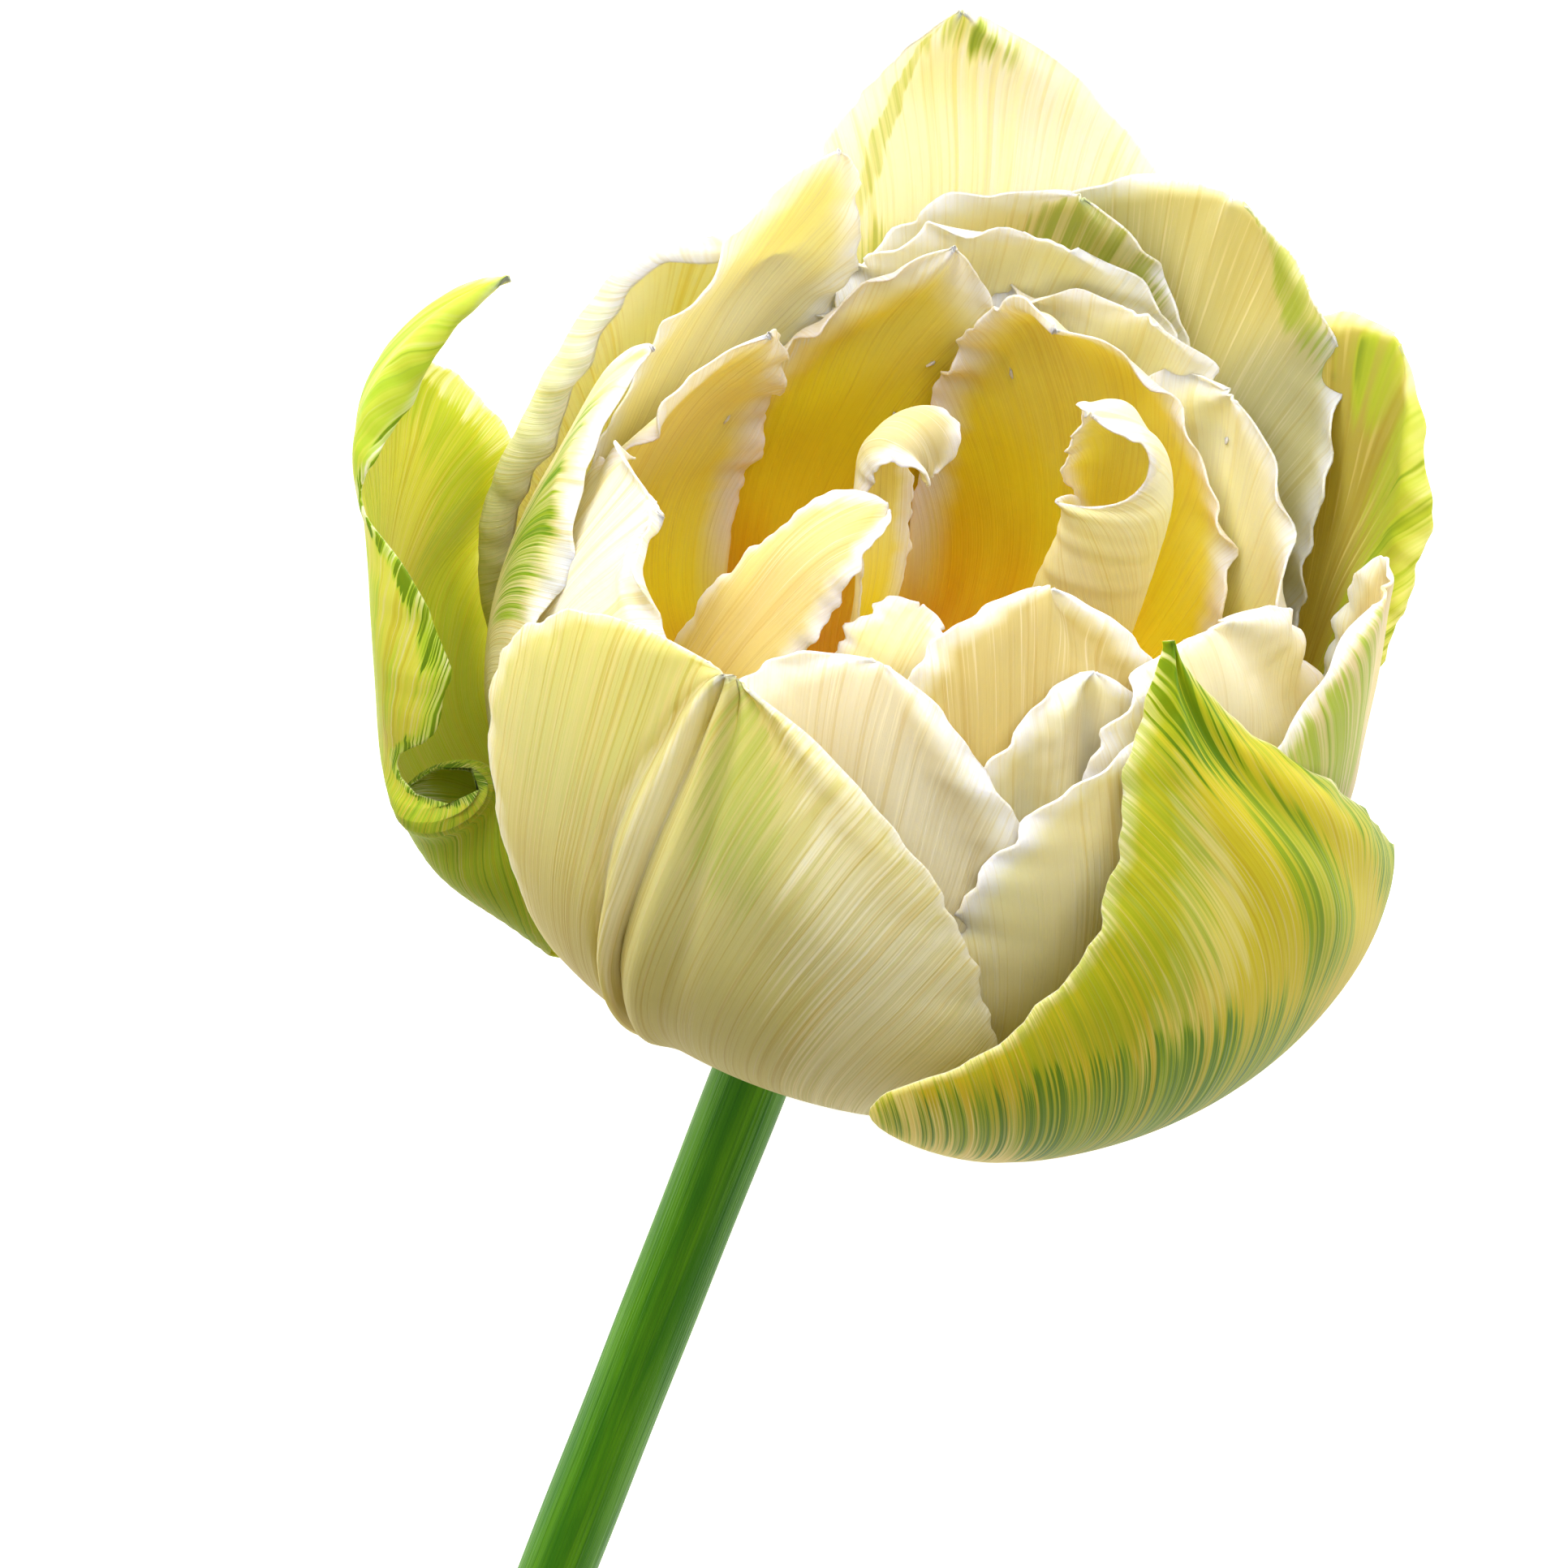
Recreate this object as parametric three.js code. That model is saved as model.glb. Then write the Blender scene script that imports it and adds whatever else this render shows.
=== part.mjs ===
// A cut double tulip lying on its side: one green stem with its receptacle, the petals of a
// full bloom in nested layers, and the pistil and stamens deep in the cup. Millimetres, +Z up.
import * as THREE from "three";

const rad = THREE.MathUtils.degToRad;
const smooth = THREE.MathUtils.smoothstep;

// Driving dimensions, in millimetres and degrees
const BLADE = 0.66; // thickness of a petal
const ROWS = 14; // steps along a petal
const FINE = 12; // finer steps in each of them, for the run of the midrib
const FREE_RUN = 0.3; // share of the blade over which the rolls and waves set in
const TIP_CUT = 0.985; // share of the blade where the tip is cut off blunt
const CREASE_WIDTH = 0.14; // share of the half width
const HOOK_START = 0.6; // share of the wall over which it doesn't hook yet
const LEAST_RADIUS = 4; // nearer to the axis a petal is as broad in degrees as here

// The cup that all petals are nested in: a root, a sloping floor, a bend and then the wall
const ROOT_RADIUS = 7.2;
const ROOT_HEIGHT = 0.8;
const FLOOR_SLOPE = 9;
const FLOOR_RUN = 12.5;
const BEND_RADIUS = 27;

// The stem, and the receptacle as height along the axis and radius
const STEM_RADIUS = 3.65;
const STEM_STRAIGHT = 75;
const STEM_SIDES = 16;
const STEM_BENDS = 10; // steps along its curved part
const RECEPTACLE = [[-5, 3.65], [-2.2, 5], [-0.6, 6.6], [2.5, 6.55], [13, 4.6], [14.6, 4.2]];

// Pistil as height, radius and depth of its three lobes, and stamen as length and radius
const PISTIL_ROOT = 14.9;
const PISTIL = [
  [0, 1.9, 0],
  [2, 2.3, 0.1],
  [8, 2.4, 0.14],
  [13, 1.8, 0.14],
  [14.5, 2.6, 0.35],
  [15.8, 2.8, 0.4],
];
const PISTIL_SIDES = 12;
const STAMEN = [[0, 0.55], [6, 0.45], [7, 0.9], [12.5, 0.8], [13.5, 0.35]];
const STAMEN_SIDES = 6;
const STAMEN_RADIUS = 3.4;
const STAMEN_LEAN = 9;
const STAMEN_COUNT = 3;

// How the flower lies: its axis rises towards the mouth, and its back petals are underneath
const AXIS_RISE = 14;
const AXIS_HEIGHT = 33.4; // low enough to press a flat spot into the lowest petal

// A petal without peculiarities. Azimuth 0 is the side of the flower that faces up and
// forward, and it grows to the right.
const PLAIN = {
  at: 0, // azimuth of the midrib, or its values from claw to tip
  depth: 0, // how far inside the outermost cup the petal stands
  out: 0, // how much further out its wall is than the cup's
  rise: 30, // length of the blade above the bend
  close: 0, // turn of the wall towards the axis
  hook: 0, // further turn of its last third
  lean: 0, // a turn towards the axis on top of that, in itself or as values from claw to tip
  half: 24, // half width
  claw: 3.3, // half width at the root
  left: 1, // share of the half width on the left of the midrib, or its values from claw to tip
  right: 1,
  widest: 0.6, // where along the blade
  tip: 0.6, // 0.5 is a round tip, 1 a pointed one
  taper: 1.15, // how narrow it is near the claw
  rollLeft: 0, // turn of the margin, towards the inside if positive
  rollRight: 0,
  band: 0.3, // share of the half width that rolls
  free: 0.5, // where along the blade it leaves the cup's round shape
  cup: 0, // how far the margins stand in from the round cup
  wave: 0.6, // height of the waves along the margins
  waves: 3,
  crease: 0, // depth of the groove along the midrib
  columns: 8, // steps across the blade
};

// Petals from the outside in
const PETALS = {
  petal_front_right: {
    at: [66, 65, 64, 59, 42], out: 3.7, rise: 37, close: 72, hook: -30, half: 30,
    left: [0.8, 0.5, 0.2, 0.7, 1.38, 1.25, 1.15, 1.15, 1.15],
    right: [1, 1, 1, 1, 1, 0.92, 0.8, 0.88, 0.97], widest: 0.42, tip: 1.25, taper: 1.25,
    band: 0.4, rollLeft: 10, rollRight: 30, cup: 1, waves: 2.5, wave: 0.4,
  },
  petal_left_curled: {
    at: [-60, -63, -70, -83, -92], out: 5.7, rise: 28.5, close: -14, hook: 60, half: 18,
    left: [1, 1, 1.2, 1.5, 1.6, 1.7, 1.35, 0.55, 0.9],
    right: [0.9, 0.8, 0.7, 0.58, 0.55, 1, 1.5, 1.66, 0.42, 0.62, 0.78, 0.7, 0.5, 0.85, 1.2, 1.5, 1.6],
    tip: 1, widest: 0.45, taper: 0.8, rollLeft: [0, 0, 8, 15, 22, 30, 45, 40, 20],
    rollRight: [0, 0, 0, 5, 25, 165, 290, 330, 40, 80, 100, 80, 32, 90, 150, 200, 200],
    band: [0.5, 0.5, 0.5, 0.5, 0.5, 0.77, 0.86, 0.88, 0.5, 0.62, 0.67, 0.62, 0.45, 0.5, 0.5, 0.5, 0.5],
    free: 0.1, waves: 2, lean: [0, 0, 0, 0, 10, -10, -24, 34, 0], columns: 14,
  },
  petal_back_tall: {
    at: [192, 192, 192, 195, 205], rise: 46.5, hook: 20, half: 24,
    left: [1.15, 1.15, 1.15, 1.15, 1.2, 1.26, 1.3, 1.36, 1.45],
    right: [0.85, 0.85, 0.85, 0.85, 0.85, 0.82, 0.74, 0.64, 0.55], tip: 0.8, rollLeft: 10,
    rollRight: 110, free: 0.85, waves: 2,
  },
  petal_front_left: {
    at: [-15, -17, -21, -22, -23], depth: 1.5, rise: 22, close: 25, half: 31.5,
    left: [1, 0.9, 0.56, 0.34, 0.36, 0.52, 0.8, 0.88, 0.9],
    right: [1, 1, 0.9, 0.9, 1.05, 1.1, 1.05, 1.02, 1], tip: 0.5, taper: 0.9, rollRight: 12,
    crease: 1, wave: 0.4,
  },
  petal_right_green_edge: {
    at: [126, 126, 126, 129, 132], depth: 1.5, rise: 36.5, close: 9, hook: -10, half: 26,
    left: [1, 1, 0.9, 0.62, 0.44, 0.42, 0.5, 0.6, 0.68], right: 0.85,
    rollLeft: [0, 0, -10, -40, -80, -95, -95, -80, -60], band: 0.3,
    rollRight: [0, 0, 0, -15, -30], wave: 0.5, columns: 10,
  },
  petal_left_back_rolled: {
    at: [224, 226, 229, 227, 224], depth: 1.5, rise: 27, hook: 88, half: 19, left: 0.7,
    right: [1, 1, 1, 1.3, 1.4, 1.45, 1.45, 1.45, 1.3],
    rollRight: [0, 0, 20, 60, 150, 190, 200, 180, 80], band: 0.2, free: 0.3, wave: 0.4,
    columns: 12,
  },
  petal_right_white: {
    at: [86, 86, 86, 89, 93], depth: 3, rise: 29, close: 17, half: 20,
    left: [1, 1, 0.9, 0.85, 0.85, 0.9, 1.1, 1.35, 1.5], tip: 0.45,
    rollLeft: [0, 0, 0, 0, 4, 9, 16, 28, 40], rollRight: 10, band: 0.7, wave: 0.5, waves: 4,
    crease: 0.3,
  },
  petal_back_right: {
    at: [159, 159, 159, 160, 162], depth: 3, rise: 38, close: 4, hook: 0, half: 27,
    left: [1, 1, 1, 0.95, 0.86, 0.82, 0.84, 0.92, 1.1], rollLeft: 15, rollRight: 10, wave: 0.5,
    crease: 0.6,
  },
  petal_left_striped: {
    at: [-84, -84, -86, -92, -98], depth: 3, out: -3.2, rise: 24, close: 20, hook: 14, half: 21,
    left: [1, 1, 0.9, 0.75, 0.55, 0.4, 0.4, 0.4, 0.4],
    right: [1, 0.9, 0.6, 0.4, 0.55, 0.9, 1, 1, 1], rollLeft: 10, rollRight: [0, 0, 0, 20, 60],
    wave: 0.6, waves: 4,
  },
  petal_front_white: {
    at: 45, depth: 4.5, rise: 26, close: 32, half: 19, left: 1.1,
    right: [0.6, 0.6, 0.6, 0.5, 0.3, 0.2, 0.2, 0.2, 0.2], rollLeft: 10, wave: 0.5, waves: 4,
    crease: 0.4,
  },
  petal_back_green_edge: {
    at: 182, depth: 4.5, rise: 34, close: 7, hook: 15, half: 23, tip: 0.7, rollLeft: 15,
    rollRight: 10, wave: 0.5, crease: 0.3,
  },
  petal_left_ruffled: {
    at: [-66, -66, -66, -64, -60], depth: 4.5, out: -3.5, rise: 22, close: 32, half: 21,
    left: [0.8, 0.8, 0.8, 0.8, 0.8, 0.8, 0.85, 1.15, 1.5],
    right: [1.1, 1.1, 1.1, 1.1, 1.1, 1.2, 1.3, 1, 0.5], rollLeft: 10, rollRight: 10, wave: 0.8,
    waves: 5,
  },
  petal_front_inner: {
    at: [4, 4, 3, 0, -6], depth: 6, rise: 26, close: 37, hook: 10, half: 20, claw: 2.4,
    rollLeft: 10, rollRight: 10, waves: 4,
  },
  petal_back_fringed: {
    at: 183, depth: 6, rise: 30, close: 9, hook: 20, half: 22, tip: 0.4, rollLeft: 10,
    rollRight: 10, band: 0.25, wave: 0.8, waves: 5,
  },
  petal_right_front_inner: {
    at: 60, depth: 6, rise: 31, close: 42, hook: 10, half: 20, claw: 2.4,
    left: [1, 1, 0.8, 0.7, 0.7, 0.8, 0.9, 1, 1],
    right: [0.8, 0.8, 0.8, 0.8, 0.8, 0.9, 1.1, 1.2, 1.2], rollLeft: 20, rollRight: 20,
    band: 0.25, waves: 5, tip: 0.4,
  },
  petal_left_golden: {
    at: [-114, -114, -116, -119, -124], depth: 10.2, rise: 22, close: 30, half: 14, claw: 2.3,
    tip: 0.8, rollLeft: 10, rollRight: 10, band: 0.25, wave: 0.7, waves: 5,
  },
  petal_left_back_tall: {
    at: [240, 240, 238, 231, 222], depth: 7.5, rise: 35, close: 6, half: 19, left: 0.7,
    right: [0.7, 0.7, 0.65, 0.55, 0.5, 0.5, 0.5, 0.5, 0.5], tip: 0.7, rollLeft: 10,
    rollRight: 10, wave: 0.7, waves: 4,
  },
  petal_back_ruffled: {
    at: 166, depth: 7.3, rise: 27, close: 10, hook: 15, half: 20, tip: 0.45, rollLeft: -10,
    band: 0.25, wave: 0.8, waves: 5,
  },
  petal_front_bulge: {
    at: 34, depth: 7.5, rise: 28, close: 46, half: 14, rollLeft: 10, rollRight: 10, waves: 4,
  },
  petal_right_pale: {
    at: [136, 136, 136, 140, 146], depth: 8.6, rise: 25, close: 10, half: 19, rollLeft: 20,
    rollRight: 10, band: 0.25, wave: 0.8, waves: 5,
  },
  petal_back_inner: {
    at: [208, 208, 206, 203, 199], depth: 8.6, rise: 28, close: 16, half: 17, right: 0.85,
    rollLeft: 10, rollRight: [0, 0, 20, 50, 70], tip: 1, band: 0.25, waves: 5,
  },
  petal_front_cream: {
    at: 26, depth: 9, rise: 34, close: 58, half: 17, rollLeft: 10, rollRight: 10, waves: 4,
  },
  petal_right_curled_tip: {
    at: [158, 158, 158, 164, 177], depth: 10, rise: 30, close: 18, hook: 50, half: 18,
    rollLeft: 10, rollRight: 10, tip: 0.8, band: 0.25, waves: 5,
  },
  petaloid_left_hooked: {
    at: [-100, -102, -104, -104, -102], depth: 12, out: -11, rise: 28, hook: 160,
    lean: [60, 60, 45, 12, -10, -18, -15, 0, 0], half: 6.5, claw: 2, tip: 0.4, widest: 0.8,
    rollLeft: 40, rollRight: 40, waves: 4, columns: 6,
  },
  petaloid_left_narrow: {
    at: [-50, -50, -50, -50, -54], depth: 12, out: -8, rise: 30, close: 48, hook: 30, half: 8,
    left: 0.8, claw: 2, tip: 0.5, rollLeft: 40, rollRight: 40, waves: 4, columns: 6,
  },
  petaloid_right_hooded: {
    at: [129, 131, 133, 133, 134], depth: 12, out: -10.5, rise: 39, close: 10, hook: 75,
    half: 14, left: [0.5, 0.8, 1.2, 1.6, 1.7, 1.75, 1.85, 0.7, 0.6],
    right: [0.4, 0.4, 0.4, 0.4, 0.4, 0.5, 0.8, 0.9, 0.9], claw: 2, tip: 0.5, widest: 0.5,
    rollLeft: [0, 60, 180, 240, 245, 245, 240, 60, 30],
    rollRight: [20, 20, 20, 20, 20, 45, 85, 90, 70], band: 0.9, free: 0.15, waves: 4,
    columns: 14,
  },
  petaloid_front_small: {
    at: -8, depth: 12, out: -11, rise: 25, close: 30, hook: 70, half: 7, claw: 2, tip: 0.5,
    rollLeft: 40, rollRight: 60, waves: 4, columns: 6,
  },
};

// A value at v, from the claw at 0 to the tip at 1: a number, or a smooth run through a list
function run(value, v) {
  if (typeof value === "number") return value;
  const t = Math.min(v, 0.9999) * (value.length - 1);
  const i = Math.floor(t);
  const a = value[Math.max(i - 1, 0)];
  const b = value[i];
  const c = value[i + 1];
  const d = value[Math.min(i + 2, value.length - 1)];
  const s = t - i;
  return b + 0.5 * s * (c - a + s * (2 * a - 5 * b + 4 * c - d + s * (3 * (b - c) + d - a)));
}

// Share of the half width at v
function outline(petal, v) {
  if (v < petal.widest) return Math.sin((Math.PI / 2) * Math.pow(v / petal.widest, petal.taper));
  const t = (v - petal.widest) / (1 - petal.widest);
  return Math.pow(1 - t * t, petal.tip);
}

// The midrib in the plane through the axis: radius, height and direction at each row
function midrib(petal) {
  const bend = BEND_RADIUS - petal.depth;
  const floor = FLOOR_RUN + petal.out;
  const toWall = floor + bend * rad(90 - FLOOR_SLOPE);
  const length = toWall + petal.rise;
  const rows = [];
  let r = ROOT_RADIUS - petal.depth * Math.sin(rad(FLOOR_SLOPE));
  let z = ROOT_HEIGHT + petal.depth * Math.cos(rad(FLOOR_SLOPE));
  const step = length / (ROWS * FINE);
  for (let i = 0; i <= ROWS * FINE; i++) {
    const s = i * step;
    const up = Math.max(0, (s - toWall) / petal.rise);
    let angle = rad(FLOOR_SLOPE) + Math.min(Math.max(0, s - floor) / bend, rad(90 - FLOOR_SLOPE));
    angle += rad(petal.close) * up + rad(petal.hook) * smooth(up, HOOK_START, 1);
    angle += rad(run(petal.lean, s / length));
    if (i % FINE === 0) rows.push({ v: s / length, r, z, angle });
    r += Math.cos(angle) * step;
    z += Math.sin(angle) * step;
  }
  return rows;
}

// The middle surface of a petal as a grid of points, in rows from claw to tip
function petalGrid(petal) {
  return midrib(petal).map(({ v, r, z, angle }) => {
    const free = smooth(v, petal.free, Math.min(1, petal.free + FREE_RUN));
    const centre = rad(run(petal.at, v));
    const band = run(petal.band, v);
    const row = [];
    for (let j = 0; j <= petal.columns; j++) {
      const u = (2 * j) / petal.columns - 1;
      const share = run(u < 0 ? petal.left : petal.right, v);
      const width = petal.half * share * outline(petal, Math.min(v, TIP_CUT));
      const half = Math.max(petal.claw, width);
      const flat = (1 - band) * half;
      const turn = rad(run(u < 0 ? petal.rollLeft : petal.rollRight, v)) * free;
      const past = Math.max(0, Math.abs(u) * half - flat);
      const bend = turn / (band * half);
      let side = Math.abs(u) * half;
      let inward = petal.cup * u * u * free;
      if (past > 0 && Math.abs(turn) > 0.01) {
        side = flat + Math.sin(bend * past) / bend;
        inward += (1 - Math.cos(bend * past)) / bend;
      }
      inward += petal.wave * Math.abs(u) ** 3 * Math.sin(2 * Math.PI * petal.waves * v) * free;
      inward += petal.crease * Math.exp(-((u / CREASE_WIDTH) ** 2)) * free;
      const phi = centre + (Math.sign(u) * side) / Math.max(r, LEAST_RADIUS);
      const rr = r - inward * Math.sin(angle);
      const height = z + inward * Math.cos(angle);
      row.push(new THREE.Vector3(rr * Math.cos(phi), rr * Math.sin(phi), height));
    }
    return row;
  });
}

// A closed blade: the grid offset half a thickness to each side, split alike on both faces
function bladeGeometry(grid, thickness) {
  const rows = grid.length;
  const cols = grid[0].length;
  const points = [];
  for (const sign of [1, -1]) {
    for (let i = 0; i < rows; i++) {
      for (let j = 0; j < cols; j++) {
        const along = grid[Math.min(i + 1, rows - 1)][j].clone().sub(grid[Math.max(i - 1, 0)][j]);
        const across = grid[i][Math.min(j + 1, cols - 1)].clone().sub(grid[i][Math.max(j - 1, 0)]);
        const normal = across.cross(along).normalize();
        points.push(grid[i][j].clone().addScaledVector(normal, (sign * thickness) / 2));
      }
    }
  }
  const index = [];
  const at = (face, i, j) => face * rows * cols + i * cols + j;
  for (let i = 0; i + 1 < rows; i++) {
    for (let j = 0; j + 1 < cols; j++) {
      index.push(at(0, i, j), at(0, i, j + 1), at(0, i + 1, j + 1));
      index.push(at(0, i, j), at(0, i + 1, j + 1), at(0, i + 1, j));
      index.push(at(1, i, j), at(1, i + 1, j + 1), at(1, i, j + 1));
      index.push(at(1, i, j), at(1, i + 1, j), at(1, i + 1, j + 1));
    }
  }
  const rim = [];
  for (let j = 0; j < cols - 1; j++) rim.push([0, j]);
  for (let i = 0; i < rows - 1; i++) rim.push([i, cols - 1]);
  for (let j = cols - 1; j > 0; j--) rim.push([rows - 1, j]);
  for (let i = rows - 1; i > 0; i--) rim.push([i, 0]);
  rim.forEach(([i, j], k) => {
    const [m, n] = rim[(k + 1) % rim.length];
    index.push(at(1, i, j), at(1, m, n), at(0, m, n));
    index.push(at(1, i, j), at(0, m, n), at(0, i, j));
  });
  return new THREE.BufferGeometry().setFromPoints(points).setIndex(index);
}

// A closed solid through rings of points, with a point at the middle of each end
function loftGeometry(rings) {
  const sides = rings[0].length;
  const points = rings.flat();
  const sum = (ring) => ring.reduce((total, point) => total.add(point), new THREE.Vector3());
  const middle = (ring) => sum(ring).divideScalar(sides);
  points.push(middle(rings[0]), middle(rings.at(-1)));
  const index = [];
  for (let i = 0; i + 1 < rings.length; i++) {
    for (let j = 0; j < sides; j++) {
      const next = (j + 1) % sides;
      index.push(i * sides + j, i * sides + next, (i + 1) * sides + next);
      index.push(i * sides + j, (i + 1) * sides + next, (i + 1) * sides + j);
    }
  }
  const last = (rings.length - 1) * sides;
  for (let j = 0; j < sides; j++) {
    const next = (j + 1) % sides;
    index.push(rings.length * sides, next, j);
    index.push(rings.length * sides + 1, last + j, last + next);
  }
  return new THREE.BufferGeometry().setFromPoints(points).setIndex(index);
}

// A ring of points round a place, in the plane across a direction that lies in the x-z plane
function ring(place, direction, radiusAt, sides) {
  const across = new THREE.Vector3(0, 1, 0);
  const up = new THREE.Vector3().crossVectors(direction, across);
  return Array.from({ length: sides }, (_, j) => {
    const angle = (2 * Math.PI * j) / sides;
    const r = radiusAt(angle);
    const point = place.clone().addScaledVector(up, -r * Math.cos(angle));
    return point.addScaledVector(across, r * Math.sin(angle));
  });
}

// The stem runs straight back from the bloom, then levels out and lies along the table
function stemGeometry() {
  const rise = rad(AXIS_RISE);
  const drop = AXIS_HEIGHT - STEM_RADIUS - STEM_STRAIGHT * Math.sin(rise);
  const bend = drop / (1 - Math.cos(rise));
  const rings = [];
  for (let i = 0; i <= STEM_BENDS; i++) {
    const slope = (rise * i) / STEM_BENDS;
    const x = -STEM_STRAIGHT * Math.cos(rise) - bend * (Math.sin(rise) - Math.sin(slope));
    const z = STEM_RADIUS + bend * (1 - Math.cos(slope));
    const direction = new THREE.Vector3(Math.cos(slope), 0, Math.sin(slope));
    rings.push(ring(new THREE.Vector3(x, 0, z), direction, () => STEM_RADIUS, STEM_SIDES));
  }
  const along = new THREE.Vector3(Math.cos(rise), 0, Math.sin(rise));
  const base = new THREE.Vector3(0, 0, AXIS_HEIGHT);
  for (const [height, radius] of RECEPTACLE) {
    rings.push(ring(base.clone().addScaledVector(along, height), along, () => radius, STEM_SIDES));
  }
  return loftGeometry(rings);
}

// The ovary is three sided, and its stigma spreads in three lobes
function pistilGeometry() {
  const axis = new THREE.Vector3(0, 0, 1);
  return loftGeometry(PISTIL.map(([height, radius, lobe]) => {
    const place = new THREE.Vector3(0, 0, PISTIL_ROOT + height);
    return ring(place, axis, (angle) => radius * (1 + lobe * Math.cos(3 * angle)), PISTIL_SIDES);
  }));
}

// A slim filament with its anther, leaning out from the axis
function stamenGeometry() {
  const lean = new THREE.Vector3(Math.sin(rad(STAMEN_LEAN)), 0, Math.cos(rad(STAMEN_LEAN)));
  const root = new THREE.Vector3(STAMEN_RADIUS, 0, PISTIL_ROOT);
  return loftGeometry(STAMEN.map(([length, radius]) => {
    return ring(root.clone().addScaledVector(lean, length), lean, () => radius, STAMEN_SIDES);
  }));
}

const petalLook = { color: 0xf1ecc9, roughness: 0.55 };
const goldLook = { color: 0xe9dc94, roughness: 0.55 };
const stemLook = { color: 0x4f8a1c, roughness: 0.5 };
const antherLook = { color: 0xb98b2f, roughness: 0.8 };

function addMesh(group, name, geometry, look) {
  const mesh = new THREE.Mesh(geometry, new THREE.MeshStandardMaterial(look));
  mesh.name = name;
  group.add(mesh);
  return mesh;
}

// The bloom's own frame has z along the flower's axis and x towards azimuth 0
function laidDownFrame() {
  const rise = rad(AXIS_RISE);
  const forward = new THREE.Vector3(-Math.sin(rise), 0, Math.cos(rise));
  const side = new THREE.Vector3(0, -1, 0);
  const axis = new THREE.Vector3(Math.cos(rise), 0, Math.sin(rise));
  return new THREE.Matrix4().makeBasis(forward, side, axis).setPosition(0, 0, AXIS_HEIGHT);
}

// Where a blade would reach below the table, its outer face lies flat on it
function pressOnTable(geometry, frame) {
  const back = frame.clone().invert();
  const position = geometry.getAttribute("position");
  const point = new THREE.Vector3();
  for (let i = 0; i < position.count; i++) {
    const lowest = i < position.count / 2 ? 0 : BLADE;
    point.fromBufferAttribute(position, i).applyMatrix4(frame);
    point.z = Math.max(point.z, lowest);
    point.applyMatrix4(back);
    position.setXYZ(i, point.x, point.y, point.z);
  }
}

const flower = new THREE.Group();
const bloom = new THREE.Group();
const laidDown = laidDownFrame();
bloom.applyMatrix4(laidDown);
flower.add(bloom);
for (const [name, peculiar] of Object.entries(PETALS)) {
  const petal = { ...PLAIN, ...peculiar };
  const blade = bladeGeometry(petalGrid(petal), BLADE);
  pressOnTable(blade, laidDown);
  addMesh(bloom, name, blade, petal.depth < 5 ? petalLook : goldLook);
}
addMesh(flower, "stem", stemGeometry(), stemLook);
addMesh(bloom, "pistil", pistilGeometry(), stemLook);
for (let i = 0; i < STAMEN_COUNT; i++) {
  const stamen = addMesh(bloom, `stamen_${i + 1}`, stamenGeometry(), antherLook);
  stamen.rotation.z = (2 * Math.PI * (i + 0.5)) / STAMEN_COUNT;
}

// The origin is under the middle of the flower, on the table
const box = new THREE.Box3().setFromObject(flower, true);
const middle = box.getCenter(new THREE.Vector3());
flower.position.set(-middle.x, -middle.y, -box.min.z);
export default flower;
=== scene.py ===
"""Looks of a cut double tulip lying on its side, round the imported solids.

Every petal is one surface of two parameters, u across it from -1 to 1 and v along it from the claw
at 0 to the tip at 1. Lengths are in millimetres in the bloom's own frame, where z runs along the
flower's axis to its mouth, and azimuth 0 is the side that faces up and forward. Angles are degrees.
"""

import bpy
import numpy as np
from mathutils import Matrix, Vector


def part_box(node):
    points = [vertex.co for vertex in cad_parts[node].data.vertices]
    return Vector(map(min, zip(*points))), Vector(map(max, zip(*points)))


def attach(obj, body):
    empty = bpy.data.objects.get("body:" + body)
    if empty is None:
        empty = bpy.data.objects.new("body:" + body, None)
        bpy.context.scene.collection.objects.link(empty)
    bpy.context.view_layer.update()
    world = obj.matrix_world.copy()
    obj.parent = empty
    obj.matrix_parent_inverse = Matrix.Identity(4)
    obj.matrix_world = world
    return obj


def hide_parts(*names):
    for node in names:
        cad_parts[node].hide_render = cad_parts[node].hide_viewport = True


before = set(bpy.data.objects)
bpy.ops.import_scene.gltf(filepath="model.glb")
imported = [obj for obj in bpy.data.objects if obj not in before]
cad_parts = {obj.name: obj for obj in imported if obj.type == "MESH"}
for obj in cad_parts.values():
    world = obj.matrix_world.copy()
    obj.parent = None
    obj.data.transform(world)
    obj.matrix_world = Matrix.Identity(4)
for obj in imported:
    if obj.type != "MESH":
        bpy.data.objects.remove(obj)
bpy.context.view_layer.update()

MM = 0.001

# The cup that all petals are nested in: a root, a sloping floor, a bend and then the wall
ROOT_RADIUS = 7.2
ROOT_HEIGHT = 0.8
FLOOR_SLOPE = 9
FLOOR_RUN = 12.5
BEND_RADIUS = 27

# How the flower lies: the axis rises towards the mouth, and the bloom's root is this high
AXIS_RISE = 14
AXIS_HEIGHT = 33.4

# The stem, and the receptacle's places along the axis with its radii
STEM_RADIUS = 3.65
STEM_STRAIGHT = 75
STEM_UNEVEN = 0.012
STEM_CYCLES = (3.1, 7.3)
RECEPTACLE = ((-5, 3.65), (-2.2, 5), (-0.6, 6.6), (2.5, 6.55), (13, 4.6), (14.6, 4.2))

# The pistil's heights, radii and lobes, and a stamen's lengths and radii
HEART_ROOT = 14.9
PISTIL = (
    (0, 1.9, 0), (2, 2.3, 0.1), (8, 2.4, 0.14), (13, 1.8, 0.14), (14.5, 2.6, 0.35),
    (15.8, 2.6, 0.4),
)
STAMEN = ((0, 0.5), (6, 0.42), (7, 0.85), (12.5, 0.75), (13.5, 0.3))
STAMEN_COUNT = 3
STAMEN_RING = 3.4
STAMEN_LEAN = 9

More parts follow.
